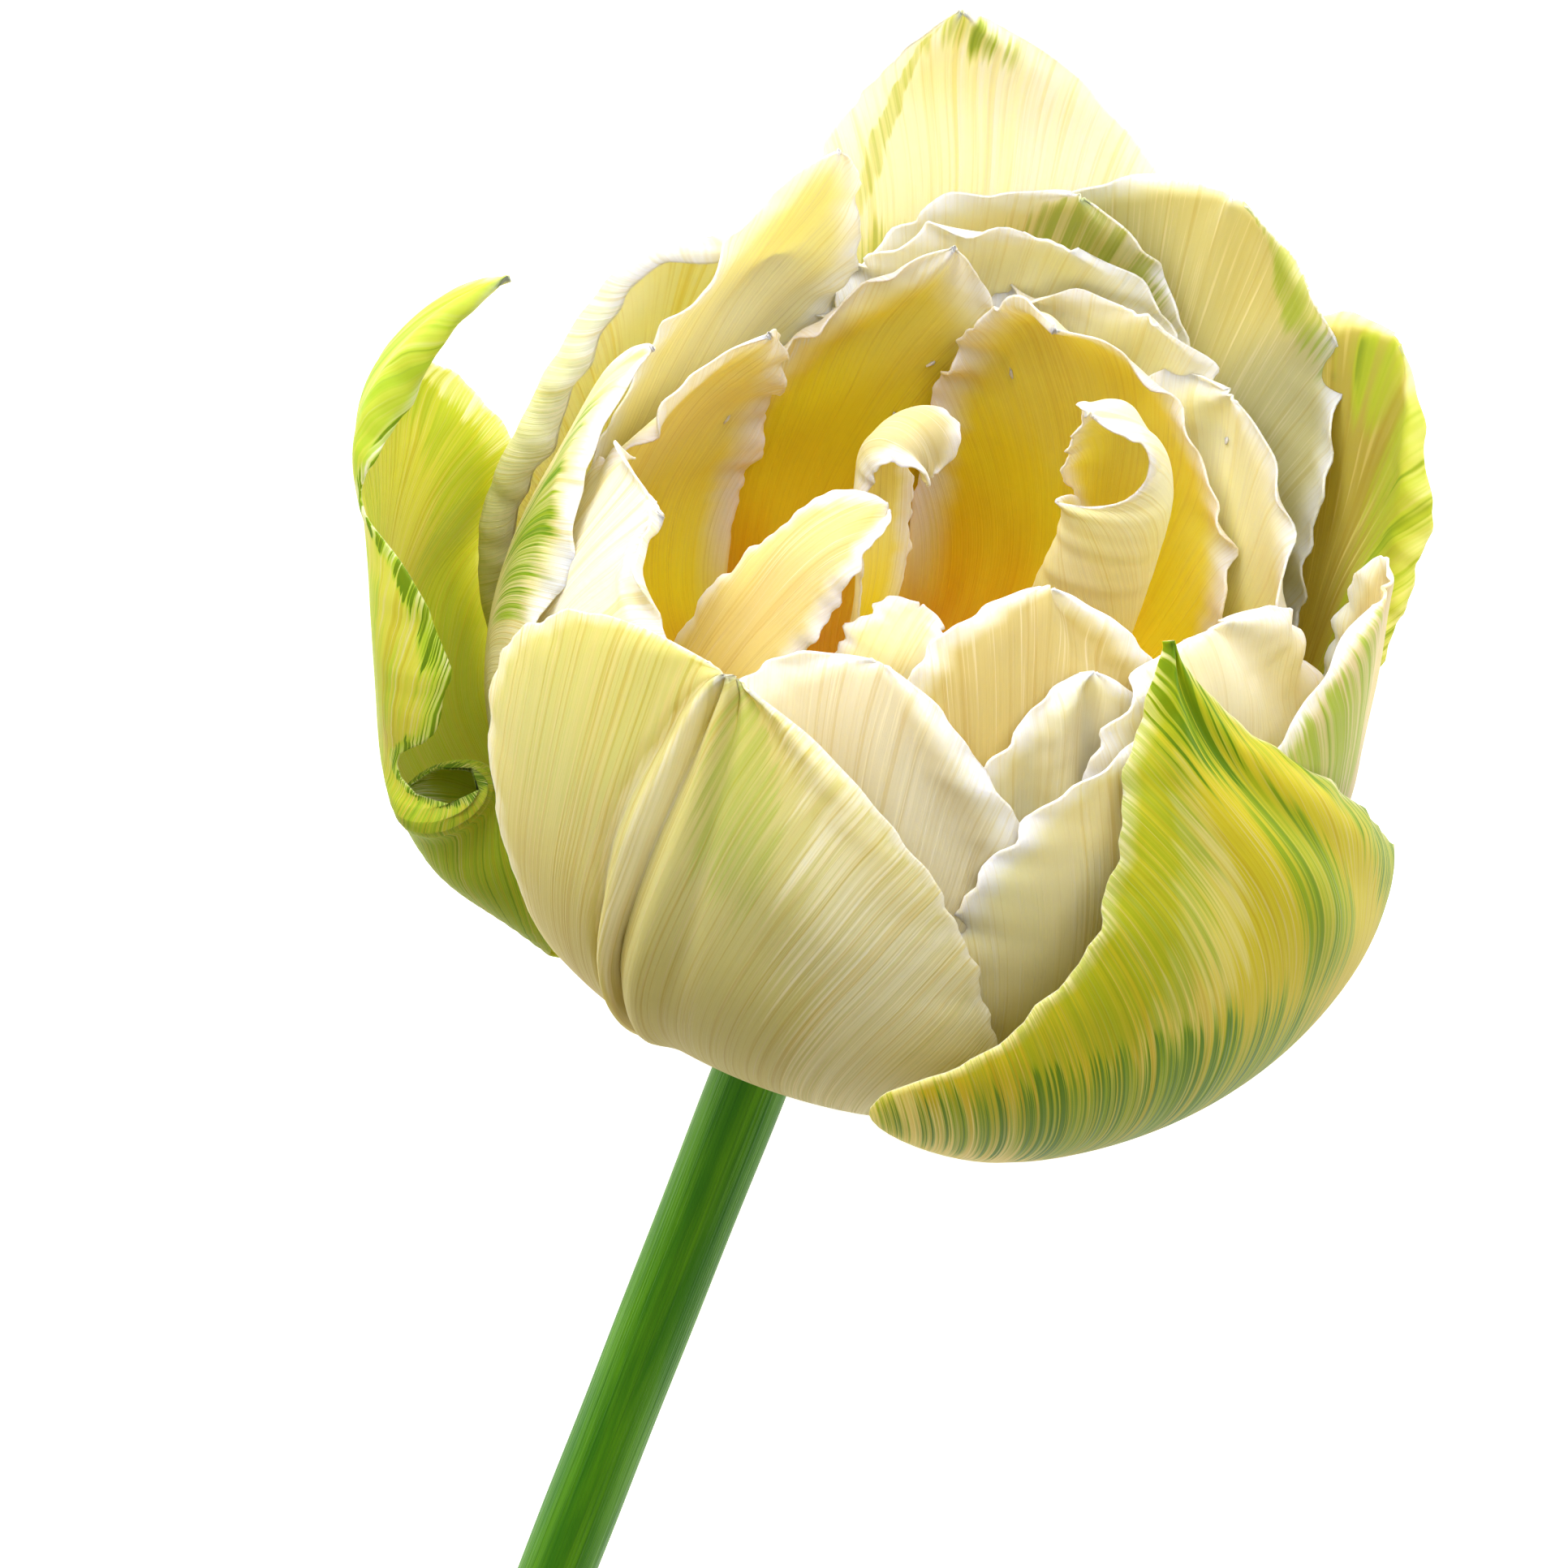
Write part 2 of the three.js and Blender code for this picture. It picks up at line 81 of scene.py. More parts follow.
# Blades in the visual model are as thin as real petals, thinner still at the margins
BLADE = 0.42
BLADE_MARGIN = 0.2
MARGIN_RUN = 5
ROWS = 112
COLUMNS = 70
ROW_CROWDING = 1.35
MIDRIB_STEPS = 900

# Shares of a petal's length: its drawn end, the run over which its margins come free of the cup,
# the stretches where the claw's own width ends and the notches begin, and the ends of a fold
BLADE_END = 0.9985
FREE_RUN = 0.3
CLAW_FADE = (0.7, 0.95)
NOTCH_FADE = (0.45, 0.6)
FOLD_FADE = 0.15

# Half widths: the least one, and those over which notches and ruffles grow to their full size
LEAST_HALF = 0.25
NOTCH_HALF = (0, 6)
RUFFLE_HALF = (1, 8)

# How steeply waves and ruffles grow towards the margin, the crease's width in u, the cycles of the
# slow swell along and across, and the least radius at which a width is turned into an azimuth
WAVE_POWER = 3
RUFFLE_POWER = 7
CREASE_WIDTH = 0.14
SWELL_CYCLES = ((2.3, 3.7), (0.6, 1.1))
LEAST_RADIUS = 4

# Along the petal, where the veins are as far apart as their noise says
VEIN_LENGTH = 50

# First seeds of the petals' and the stem's random phases
PETAL_SEED = 100
STEM_SEED = 7

# The camera, from the photograph: turn about its own line of sight, angle between the flower's
# axis and the line of sight, distance, and the picture's centre from the root of the bloom
VIEW_TURN = 21
VIEW_ANGLE = 52
VIEW_DISTANCE = 600
VIEW_CENTRE = (-1.69, 14.51)
VIEW_DEPTH = 21.5
LENS = 158.8
SENSOR = 36
CLIP = (0.05, 20)


def colour(red, green, blue):
    """Linear colour from the usual 0 to 255 values."""
    c = np.array([red, green, blue]) / 255
    linear = np.where(c > 0.04045, ((c + 0.055) / 1.055) ** 2.4, c / 12.92)
    return (*linear, 1.0)


# What a petal has unless its own entry says otherwise. A list is a smooth run from claw to tip.
# - at: azimuth of the midrib. depth: how far it is nested inside the outermost cup. out: added to
#   the floor's run. rise: length of the wall. close and hook: turn towards the axis, steadily up
#   the wall and over its last part. lean: added to the midrib's angle.
# - half and claw: half widths. left and right: shares of half for u below and above 0. widest:
#   place of the widest point. taper and tip: powers of the outline below and above it.
# - roll_left and roll_right: turn of a margin. band: share of the half width that turns. free:
#   where the margins come free of the cup.
# - cup, wave, crease, ruffle and swell: how far the blade moves along its normal. jag: depth of
#   the notches. waves, crimps and notches: cycles along the petal.
# - folds: creases, each its place in u, half width, depth, and where in v it starts and ends.
# - fan: length over which the veins spread 2.7 times. fine: share of the usual columns.
PLAIN = {
    "at": 0, "depth": 0, "out": 0, "rise": 30, "close": 0, "hook": 0, "half": 24, "claw": 3.3,
    "left": 1, "right": 1, "widest": 0.6, "tip": 0.6, "taper": 1.15, "roll_left": 0,
    "roll_right": 0, "band": 0.3, "free": 0.5, "cup": 0, "wave": 0.6, "waves": 3, "crease": 0,
    "lean": 0,
    "ruffle": 0.7, "crimps": (7, 12, 19), "jag": 0.8, "notches": (9, 17, 31), "swell": 0.5,
    "folds": (), "fan": 45, "fine": 1,
}

# The petals' main forms, which are those of their solids too
PETALS = {
    "petal_front_right": {
        "at": [66, 65, 64, 59, 42], "out": 3.7, "rise": 37, "close": 72, "hook": -30,
        "half": 30, "left": [0.8, 0.5, 0.2, 0.7, 1.38, 1.25, 1.15, 1.15, 1.15],
        "right": [1, 1, 1, 1, 1, 0.92, 0.8, 0.88, 0.97], "widest": 0.42, "tip": 1.25,
        "taper": 1.25, "band": 0.4, "roll_left": 10, "roll_right": 30, "cup": 1,
        "waves": 2.5, "wave": 0.4,
    },
    "petal_left_curled": {
        "at": [-60, -63, -70, -83, -92], "out": 5.7, "rise": 28.5, "close": -14, "hook": 60,
        "half": 18, "left": [1, 1, 1.2, 1.5, 1.6, 1.7, 1.35, 0.55, 0.9],
        "right": [0.9, 0.8, 0.7, 0.58, 0.55, 1, 1.5, 1.66, 0.42, 0.62, 0.78, 0.7, 0.5, 0.85,
                  1.2, 1.5, 1.6],
        "tip": 1, "widest": 0.45, "taper": 0.8,
        "roll_left": [0, 0, 8, 15, 22, 30, 45, 40, 20],
        "roll_right": [0, 0, 0, 5, 25, 165, 290, 330, 40, 80, 100, 80, 32, 90, 150, 200,
                       200],
        "band": [0.5, 0.5, 0.5, 0.5, 0.5, 0.77, 0.86, 0.88, 0.5, 0.62, 0.67, 0.62, 0.45, 0.5,
                 0.5, 0.5, 0.5],
        "free": 0.1, "waves": 2, "lean": [0, 0, 0, 0, 10, -10, -24, 34, 0],
    },
    "petal_back_tall": {
        "at": [192, 192, 192, 195, 205], "rise": 46.5, "hook": 20, "half": 24,
        "left": [1.15, 1.15, 1.15, 1.15, 1.2, 1.26, 1.3, 1.36, 1.45],
        "right": [0.85, 0.85, 0.85, 0.85, 0.85, 0.82, 0.74, 0.64, 0.55],
        "tip": 0.8, "roll_left": 10, "roll_right": 110, "free": 0.85, "waves": 2,
    },
    "petal_front_left": {
        "at": [-15, -17, -21, -22, -23], "depth": 1.5, "rise": 22, "close": 25,
        "half": 31.5, "left": [1, 0.9, 0.56, 0.34, 0.36, 0.52, 0.8, 0.88, 0.9],
        "right": [1, 1, 0.9, 0.9, 1.05, 1.1, 1.05, 1.02, 1], "tip": 0.5, "taper": 0.9,
        "roll_right": 12, "crease": 1, "wave": 0.4,
    },
    "petal_right_green_edge": {
        "at": [126, 126, 126, 129, 132], "depth": 1.5, "rise": 36.5, "close": 9, "hook": -10,
        "half": 26, "left": [1, 1, 0.9, 0.62, 0.44, 0.42, 0.5, 0.6, 0.68], "right": 0.85,
        "roll_left": [0, 0, -10, -40, -80, -95, -95, -80, -60], "band": 0.3,
        "roll_right": [0, 0, 0, -15, -30], "wave": 0.5,
    },
    "petal_left_back_rolled": {
        "at": [224, 226, 229, 227, 224], "depth": 1.5, "rise": 27,
        "hook": 88, "half": 19, "left": 0.7,
        "right": [1, 1, 1, 1.3, 1.4, 1.45, 1.45, 1.45, 1.3],
        "roll_right": [0, 0, 20, 60, 150, 190, 200, 180, 80], "band": 0.2, "free": 0.3,
        "wave": 0.4,
    },
    "petal_right_white": {
        "at": [86, 86, 86, 89, 93], "depth": 3, "rise": 29, "close": 17, "half": 20,
        "left": [1, 1, 0.9, 0.85, 0.85, 0.9, 1.1, 1.35, 1.5], "tip": 0.45,
        "roll_left": [0, 0, 0, 0, 4, 9, 16, 28, 40], "roll_right": 10, "band": 0.7,
        "wave": 0.5, "waves": 4, "crease": 0.3,
    },
    "petal_back_right": {
        "at": [159, 159, 159, 160, 162], "depth": 3, "rise": 38, "close": 4, "hook": 0,
        "half": 27, "left": [1, 1, 1, 0.95, 0.86, 0.82, 0.84, 0.92, 1.1], "roll_left": 15,
        "roll_right": 10, "wave": 0.5, "crease": 0.6,
    },
    "petal_left_striped": {
        "at": [-84, -84, -86, -92, -98], "depth": 3, "out": -3.2, "rise": 24, "close": 20,
        "hook": 14, "half": 21, "left": [1, 1, 0.9, 0.75, 0.55, 0.4, 0.4, 0.4, 0.4],
        "right": [1, 0.9, 0.6, 0.4, 0.55, 0.9, 1, 1, 1], "roll_left": 10,
        "roll_right": [0, 0, 0, 20, 60], "wave": 0.6, "waves": 4,
    },
    "petal_front_white": {
        "at": 45, "depth": 4.5, "rise": 26, "close": 32, "half": 19, "left": 1.1,
        "right": [0.6, 0.6, 0.6, 0.5, 0.3, 0.2, 0.2, 0.2, 0.2], "roll_left": 10,
        "wave": 0.5, "waves": 4, "crease": 0.4,
    },
    "petal_back_green_edge": {
        "at": 182, "depth": 4.5, "rise": 34, "close": 7, "hook": 15, "half": 23, "tip": 0.7,
        "roll_left": 15, "roll_right": 10, "wave": 0.5, "crease": 0.3,
    },
    "petal_left_ruffled": {
        "at": [-66, -66, -66, -64, -60], "depth": 4.5, "out": -3.5, "rise": 22, "close": 32,
        "half": 21, "left": [0.8, 0.8, 0.8, 0.8, 0.8, 0.8, 0.85, 1.15, 1.5],
        "right": [1.1, 1.1, 1.1, 1.1, 1.1, 1.2, 1.3, 1, 0.5], "roll_left": 10,
        "roll_right": 10, "wave": 0.8, "waves": 5,
    },
    "petal_front_inner": {
        "at": [4, 4, 3, 0, -6], "depth": 6, "rise": 26, "close": 37, "hook": 10, "half": 20,
        "claw": 2.4, "roll_left": 10, "roll_right": 10, "waves": 4,
    },
    "petal_back_fringed": {
        "at": 183, "depth": 6, "rise": 30, "close": 9, "hook": 20, "half": 22, "tip": 0.4,
        "roll_left": 10, "roll_right": 10, "band": 0.25, "wave": 0.8, "waves": 5,
    },
    "petal_right_front_inner": {
        "at": 60, "depth": 6, "rise": 31, "close": 42, "hook": 10, "half": 20, "claw": 2.4,
        "left": [1, 1, 0.8, 0.7, 0.7, 0.8, 0.9, 1, 1],
        "right": [0.8, 0.8, 0.8, 0.8, 0.8, 0.9, 1.1, 1.2, 1.2],
        "roll_left": 20, "roll_right": 20, "band": 0.25, "waves": 5, "tip": 0.4,
    },
    "petal_left_golden": {
        "at": [-114, -114, -116, -119, -124], "depth": 10.2, "rise": 22, "close": 30,
        "half": 14, "claw": 2.3, "tip": 0.8, "roll_left": 10, "roll_right": 10,
        "band": 0.25, "wave": 0.7, "waves": 5,
    },
    "petal_left_back_tall": {
        "at": [240, 240, 238, 231, 222], "depth": 7.5, "rise": 35, "close": 6, "half": 19,
        "left": 0.7, "right": [0.7, 0.7, 0.65, 0.55, 0.5, 0.5, 0.5, 0.5, 0.5], "tip": 0.7,
        "roll_left": 10, "roll_right": 10, "wave": 0.7, "waves": 4,
    },
    "petal_back_ruffled": {
        "at": 166, "depth": 7.3, "rise": 27, "close": 10, "hook": 15, "half": 20,
        "tip": 0.45, "roll_left": -10, "band": 0.25, "wave": 0.8,
        "waves": 5,
    },
    "petal_front_bulge": {
        "at": 34, "depth": 7.5, "rise": 28, "close": 46, "half": 14, "roll_left": 10,
        "roll_right": 10, "waves": 4,
    },
    "petal_right_pale": {
        "at": [136, 136, 136, 140, 146], "depth": 8.6, "rise": 25, "close": 10, "half": 19,
        "roll_left": 20, "roll_right": 10, "band": 0.25, "wave": 0.8, "waves": 5,
    },
    "petal_back_inner": {
        "at": [208, 208, 206, 203, 199], "depth": 8.6, "rise": 28, "close": 16, "half": 17,
        "right": 0.85, "roll_left": 10, "roll_right": [0, 0, 20, 50, 70], "tip": 1,
        "band": 0.25, "waves": 5,
    },
    "petal_front_cream": {
        "at": 26, "depth": 9, "rise": 34, "close": 58, "half": 17, "roll_left": 10,
        "roll_right": 10, "waves": 4,
    },
    "petal_right_curled_tip": {
        "at": [158, 158, 158, 164, 177], "depth": 10, "rise": 30, "close": 18, "hook": 50,
        "half": 18, "roll_left": 10, "roll_right": 10, "tip": 0.8, "band": 0.25, "waves": 5,
    },
    "petaloid_left_hooked": {
        "at": [-100, -102, -104, -104, -102], "depth": 12, "out": -11, "rise": 28,
        "hook": 160, "lean": [60, 60, 45, 12, -10, -18, -15, 0, 0], "half": 6.5, "claw": 2,
        "tip": 0.4, "widest": 0.8, "roll_left": 40, "roll_right": 40, "waves": 4,
    },
    "petaloid_left_narrow": {
        "at": [-50, -50, -50, -50, -54], "depth": 12, "out": -8, "rise": 30, "close": 48,
        "hook": 30, "half": 8, "left": 0.8, "claw": 2, "tip": 0.5, "roll_left": 40,
        "roll_right": 40, "waves": 4,
    },
    "petaloid_right_hooded": {
        "at": [129, 131, 133, 133, 134], "depth": 12, "out": -10.5, "rise": 39, "close": 10,
        "hook": 75, "half": 14, "left": [0.5, 0.8, 1.2, 1.6, 1.7, 1.75, 1.85, 0.7, 0.6],
        "right": [0.4, 0.4, 0.4, 0.4, 0.4, 0.5, 0.8, 0.9, 0.9], "claw": 2, "tip": 0.5,
        "widest": 0.5, "roll_left": [0, 60, 180, 240, 245, 245, 240, 60, 30],
        "roll_right": [20, 20, 20, 20, 20, 45, 85, 90, 70], "band": 0.9, "free": 0.15,
        "waves": 4,
    },
    "petaloid_front_small": {
        "at": -8, "depth": 12, "out": -11, "rise": 25, "close": 30, "hook": 70, "half": 7,
        "claw": 2, "tip": 0.5, "roll_left": 40, "roll_right": 60, "waves": 4,
    },
}

# Inputs of the petal tissue with their usual values. The colours follow each other from the claw:
# Deep, Gold, Pale and Body. Reach is the share of the length that is golden, Margin the white
# margin's width, Veins their strength, and Inner green the flush's strength on the inner face.
TISSUE = {
    "Body": colour(224, 212, 166), "Pale": colour(246, 230, 142), "Gold": colour(252, 220, 58),
    "Deep": colour(206, 142, 0), "White": colour(250, 246, 232), "Green": colour(140, 168, 26),
    "Dark green": colour(84, 130, 30), "Reach": 0.5, "Margin": 2.0, "Flush": 0.0,
    "Bleach": 0.0, "Seed": 0.0, "Veins": 0.6, "Inner green": 0.6,
}

# Colours of the inner petals: yellower than the outer ones, and lighter as painted light in the
# cup's shade
GOLDEN_AND_PAINTED_LIGHT = {
    "Body": colour(251, 241, 196), "Pale": colour(253, 234, 122), "Gold": colour(255, 220, 44),
}

# What each petal shows beyond its main form. Names with a capital letter are inputs of the tissue.
# Flush lists green patches, and the list of white patches holds both real white tissue and painted
# highlights; each entry gives place u and v, half width in u, half length in v, and strength. The
# other names are those of the plain petal.
LOOKS = {
    "petal_front_right": {
        "ruffle": 0.4, "swell": 0.8, "fan": 60, "Reach": 0.2, "Margin": 1.2, "Veins": 0.9,
        "flush": [
            (-0.8, 0.8, 0.4, 0.3, 0.7), (-0.35, 0.5, 0.7, 0.16, 1.1),
            (0.12, 0.76, 0.26, 0.2, 0.95), (0.0, 1.0, 1.2, 0.16, 1.25),
            (0.85, 0.6, 0.3, 0.35, 1.1),
        ],
        "bleach": [(-0.95, 0.42, 0.4, 0.14, 0.9), (-0.5, 0.72, 0.2, 0.2, 0.35)],
        "Body": colour(194, 182, 44), "Pale": colour(188, 172, 10), "Gold": colour(180, 160, 0),
        "White": colour(232, 226, 176), "Green": colour(132, 156, 10),
        "Dark green": colour(78, 118, 0), "Inner green": 0.3,
    },
    "petal_left_curled": {
        "ruffle": 0.3, "swell": 0.4, "fan": 22, "Reach": 0.2, "Margin": 0.8, "Veins": 1.0,
        "flush": [
            (0.0, 0.9, 2.0, 0.2, 0.85), (0.2, 0.6, 0.5, 0.2, 0.7), (-0.9, 0.6, 0.3, 0.5, 0.8),
            (1.0, 0.62, 0.2, 0.35, 1.3), (0.2, 0.34, 1.8, 0.22, 0.9),
        ],
        "bleach": [(0.95, 0.44, 0.12, 0.05, 0.9), (-0.95, 0.8, 0.12, 0.2, 0.9)],
        "Body": colour(200, 204, 84), "Pale": colour(164, 166, 50), "Gold": colour(212, 204, 4),
        "Green": colour(150, 184, 40), "Dark green": colour(60, 104, 4), "Inner green": 0.7,
    },
    "petal_back_tall": {
        "ruffle": 0.3, "swell": 0.5, "Reach": 0.35, "Margin": 3.0,
        "flush": [
            (0.0, 1.02, 0.9, 0.09, 0.9), (0.6, 0.84, 0.09, 0.24, 0.6),
            (0.25, 0.66, 0.8, 0.08, 0.6),
        ],
        "bleach": [(-0.8, 0.82, 0.8, 0.32, 1.1), (0.92, 0.85, 0.2, 0.3, 0.9)],
        "Body": colour(244, 241, 218), "Pale": colour(240, 234, 182),
        "Gold": colour(232, 222, 130), "White": colour(240, 238, 230), "Inner green": 1.0,
    },
    "petal_front_left": {
        "ruffle": 0.25, "swell": 0.8, "fan": 60, "fine": 1.9, "Reach": 0.2, "Margin": 1.5,
        "folds": [
            (0.07, 0.045, -1.1, 0.3, 1.3), (-0.02, 0.035, 1.1, 0.3, 1.3),
            (-0.09, 0.035, -0.9, 0.2, 1.2), (-0.17, 0.03, 0.7, 0.2, 1.0),
            (0.16, 0.04, 0.6, 0.5, 1.3),
        ],
        "flush": [(0.24, 0.9, 0.2, 0.18, 0.5), (-0.6, 0.88, 0.45, 0.22, 0.2)],
        # The first two white patches are painted highlights along the fold ridges
        "bleach": [
            (-0.05, 0.85, 0.06, 0.45, 0.8), (-0.17, 0.7, 0.03, 0.4, 0.5),
            (0.8, 0.7, 0.4, 0.4, 0.8),
        ],
        "Body": colour(200, 194, 132), "Pale": colour(204, 194, 118),
        "White": colour(240, 230, 200), "Veins": 1.0,
    },
    "petal_right_green_edge": {
        "ruffle": 0.4, "fan": 16, "Reach": 0.42, "Veins": 0.8,
        "flush": [(-0.75, 0.7, 0.6, 0.45, 1.0), (-0.1, 1.0, 0.9, 0.12, 0.9)],
        "Body": colour(162, 156, 80), "Pale": colour(158, 150, 62), "Gold": colour(160, 146, 40),
        "White": colour(226, 220, 166), "Green": colour(158, 178, 52),
        "Dark green": colour(86, 122, 20), "Inner green": 1.0,
    },
    "petal_left_back_rolled": {
        "ruffle": 0.5, "fan": 13, "Reach": 0.4, "Veins": 0.9,
        "flush": [(0.85, 0.62, 0.35, 0.35, 0.35)],
        "Body": colour(250, 244, 206), "Inner green": 0.3,
    },
    "petal_right_white": {
        "ruffle": 0.7, "Reach": 0.3, "flush": [(-0.6, 0.86, 0.4, 0.15, 0.8)],
        "Body": colour(196, 183, 146),
    },
    "petal_back_right": {
        "ruffle": 0.7, "Reach": 0.5, "Margin": 3.0, "flush": [(-0.75, 0.95, 0.3, 0.08, 0.7)],
        "Body": colour(192, 188, 142), "Pale": colour(182, 174, 108),
        "Gold": colour(190, 174, 76), "Inner green": 1.0,
    },
    "petal_left_striped": {
        "ruffle": 0.5, "fan": 10, "Reach": 0.42, "Veins": 1.0,
        "flush": [(0.45, 0.8, 0.45, 0.16, 1.0)],
    },
    "petal_back_green_edge": {
        "ruffle": 1.0, "jag": 1.2, "Reach": 0.65, "Margin": 4.0,
        "flush": [(-0.3, 1.0, 0.8, 0.2, 0.7)], "Inner green": 1.0,
    },
    "petal_front_white": {"ruffle": 1.1, "swell": 1.2, "Reach": 0.3},
    "petal_left_ruffled": {
        "ruffle": 2.0, "jag": 1.8, "swell": 1.4, "fan": 20, "Reach": 0.3, "Margin": 4.0,
        "Body": colour(250, 244, 214), "Veins": 0.9,
    },
    "petal_front_inner": {
        "ruffle": 0.9, "swell": 0.8, "Reach": 0.35, "Margin": 3.0,
        "Body": colour(202, 193, 166), "Pale": colour(204, 192, 148),
    },
    "petal_back_fringed": {**GOLDEN_AND_PAINTED_LIGHT, "ruffle": 2.4, "jag": 1.8, "Reach": 0.6, "Margin": 7.0},
    "petal_right_front_inner": {
        "ruffle": 1.4, "jag": 1.4, "swell": 1.0, "Reach": 0.4, "Margin": 3.5,
        "Body": colour(226, 216, 182),
    },
    "petal_left_golden": {**GOLDEN_AND_PAINTED_LIGHT, "ruffle": 0.8, "Reach": 0.65, "Margin": 3.0},
    "petal_left_back_tall": {**GOLDEN_AND_PAINTED_LIGHT, "ruffle": 0.9, "Reach": 0.45, "Margin": 2.5},
    "petal_back_ruffled": {**GOLDEN_AND_PAINTED_LIGHT, "ruffle": 2.4, "jag": 1.8, "Reach": 0.6, "Margin": 6.0},
    "petal_front_bulge": {
        "ruffle": 0.9, "swell": 1.1, "Reach": 0.35, "Body": colour(204, 195, 166),
    },
    "petal_right_pale": {**GOLDEN_AND_PAINTED_LIGHT, "ruffle": 1.0, "fan": 22, "Reach": 0.6, "Margin": 3.5},
    "petal_back_inner": {
        **GOLDEN_AND_PAINTED_LIGHT, "ruffle": 1.4, "Reach": 0.9, "Margin": 5.0,
        "bleach": [(0.95, 0.85, 0.3, 0.4, 1.0)],
    },
    "petal_front_cream": {
        "ruffle": 0.8, "swell": 0.8, "Reach": 0.4,
        "Body": colour(186, 172, 118), "Pale": colour(186, 168, 96),
    },
    "petal_right_curled_tip": {**GOLDEN_AND_PAINTED_LIGHT, "ruffle": 1.1, "fan": 30, "Reach": 0.85, "Margin": 3.0},
    "petaloid_left_hooked": {
        "ruffle": 0.6, "Reach": 0.6, "Margin": 1.5, "Body": colour(184, 172, 132),
    },
    "petaloid_left_narrow": {
        "ruffle": 0.6, "Reach": 0.75, "Margin": 1.5, "Body": colour(206, 188, 128),
    },
    "petaloid_right_hooded": {**GOLDEN_AND_PAINTED_LIGHT, "ruffle": 0.4, "fan": 24, "Reach": 0.7, "Margin": 1.5},
    "petaloid_front_small": {"ruffle": 0.8, "jag": 1.5, "Reach": 0.7, "Margin": 1.5},
}

# Vein noise of the tissue and of its patches, in cycles a millimetre across and along
FINE_VEINS = {"Across": 3.0, "Along": 0.012}
SILK = {"Across": 5.6, "Along": 0.05}
PATCH_FINE = {"Across": 3.6, "Along": 0.02}
PATCH_BROAD = {"Across": 0.8, "Along": 0.03}
CLOUD = {"Across": 0.08, "Along": 0.05}

# How far the colours' places along the petal are shifted by clouds, by veins and on the outer face
CLOUD_SHIFT = 0.25
VEIN_SHIFT = 0.12
OUTER_SHIFT = 0.33

# Tones that the tissue is multiplied by: painted shade low on the outer face, and along the veins
PAINTED_SHADE_TONE = colour(255, 236, 170)
VEIN_TONE = colour(226, 208, 140)

STEM_DARK = colour(58, 128, 0)
STEM_LIGHT = colour(98, 164, 0)
STEM_RIB = colour(38, 98, 0)
OVARY = (colour(150, 168, 70), colour(196, 196, 110))
POLLEN = (colour(150, 104, 26), colour(196, 150, 50))

# The floor lies a hair below the table's level, so that nothing flickers where the flower touches
FLOOR_HALF = 6.0
FLOOR_LEVEL = -0.00005
FLOOR_LIGHT = (0.93, 0.93, 0.93, 1)
FLOOR_GRAIN = (0.84, 0.84, 0.84, 1)
FLOOR_GLOW = 0.65
SKY = 0.44
SKY_TINT = (1.0, 0.955, 0.86, 1.0)

# Soft lamps that look at a point on the axis, this far from the root: their direction in steps to
# the picture's right, up and towards the camera, and then metres and watts
LAMP_TARGET = 30.0
LAMPS = (
    {"name": "key_above", "direction": (-0.5, 0.9, 0.7), "distance": 0.9, "size": 0.6,
     "power": 8.4, "tint": (1.0, 0.97, 0.92)},
    {"name": "fill_front", "direction": (0.4, 0.5, 1.0), "distance": 1.1, "size": 0.7,
     "power": 8.0, "tint": (1.0, 0.98, 0.94)},
)


# ---------------------------------------------------------------- shapes

def smooth(x, low, high):
    """0 below low, 1 above high, and 3t^2 - 2t^3 between them."""
    t = np.clip((x - low) / (high - low), 0, 1)
    return t * t * (3 - 2 * t)


def run(values, v):
    """One number, or a smooth run through a list of numbers spread evenly over v from 0 to 1."""
    if np.isscalar(values):
        return np.full_like(v, float(values))
    knots = np.asarray(values, float)
    t = np.minimum(v, 0.9999) * (len(knots) - 1)
    i = np.floor(t).astype(int)
    a, b, c, d = (knots[np.clip(i + n, 0, len(knots) - 1)] for n in (-1, 0, 1, 2))
    s = t - i
    return b + 0.5 * s * (c - a + s * (2 * a - 5 * b + 4 * c - d + s * (3 * (b - c) + d - a)))


def ripple(x, cycles, rng):
    """Uneven waves between about -1 and 1: sines of these numbers of cycles, each a little weaker
    than the one before it and with a phase of its own."""
    total = np.zeros_like(x)
    for n, count in enumerate(cycles):
        total = total + 0.8 ** n * np.sin(2 * np.pi * (count * x + rng.random()))
    return total / sum(0.8 ** n for n in range(len(cycles))) ** 0.7


def outline(p, v):
    """Share of the half width: a quarter sine of t^taper up to the widest place, where t runs from
    0 to 1, and then (1 - t^2)^tip up to the tip."""
    low = np.sin(np.pi / 2 * np.clip(v / p["widest"], 0, 1) ** p["taper"])
    t = np.clip((v - p["widest"]) / (1 - p["widest"]), 0, 1)
    return np.where(v < p["widest"], low, (1 - t * t) ** p["tip"])


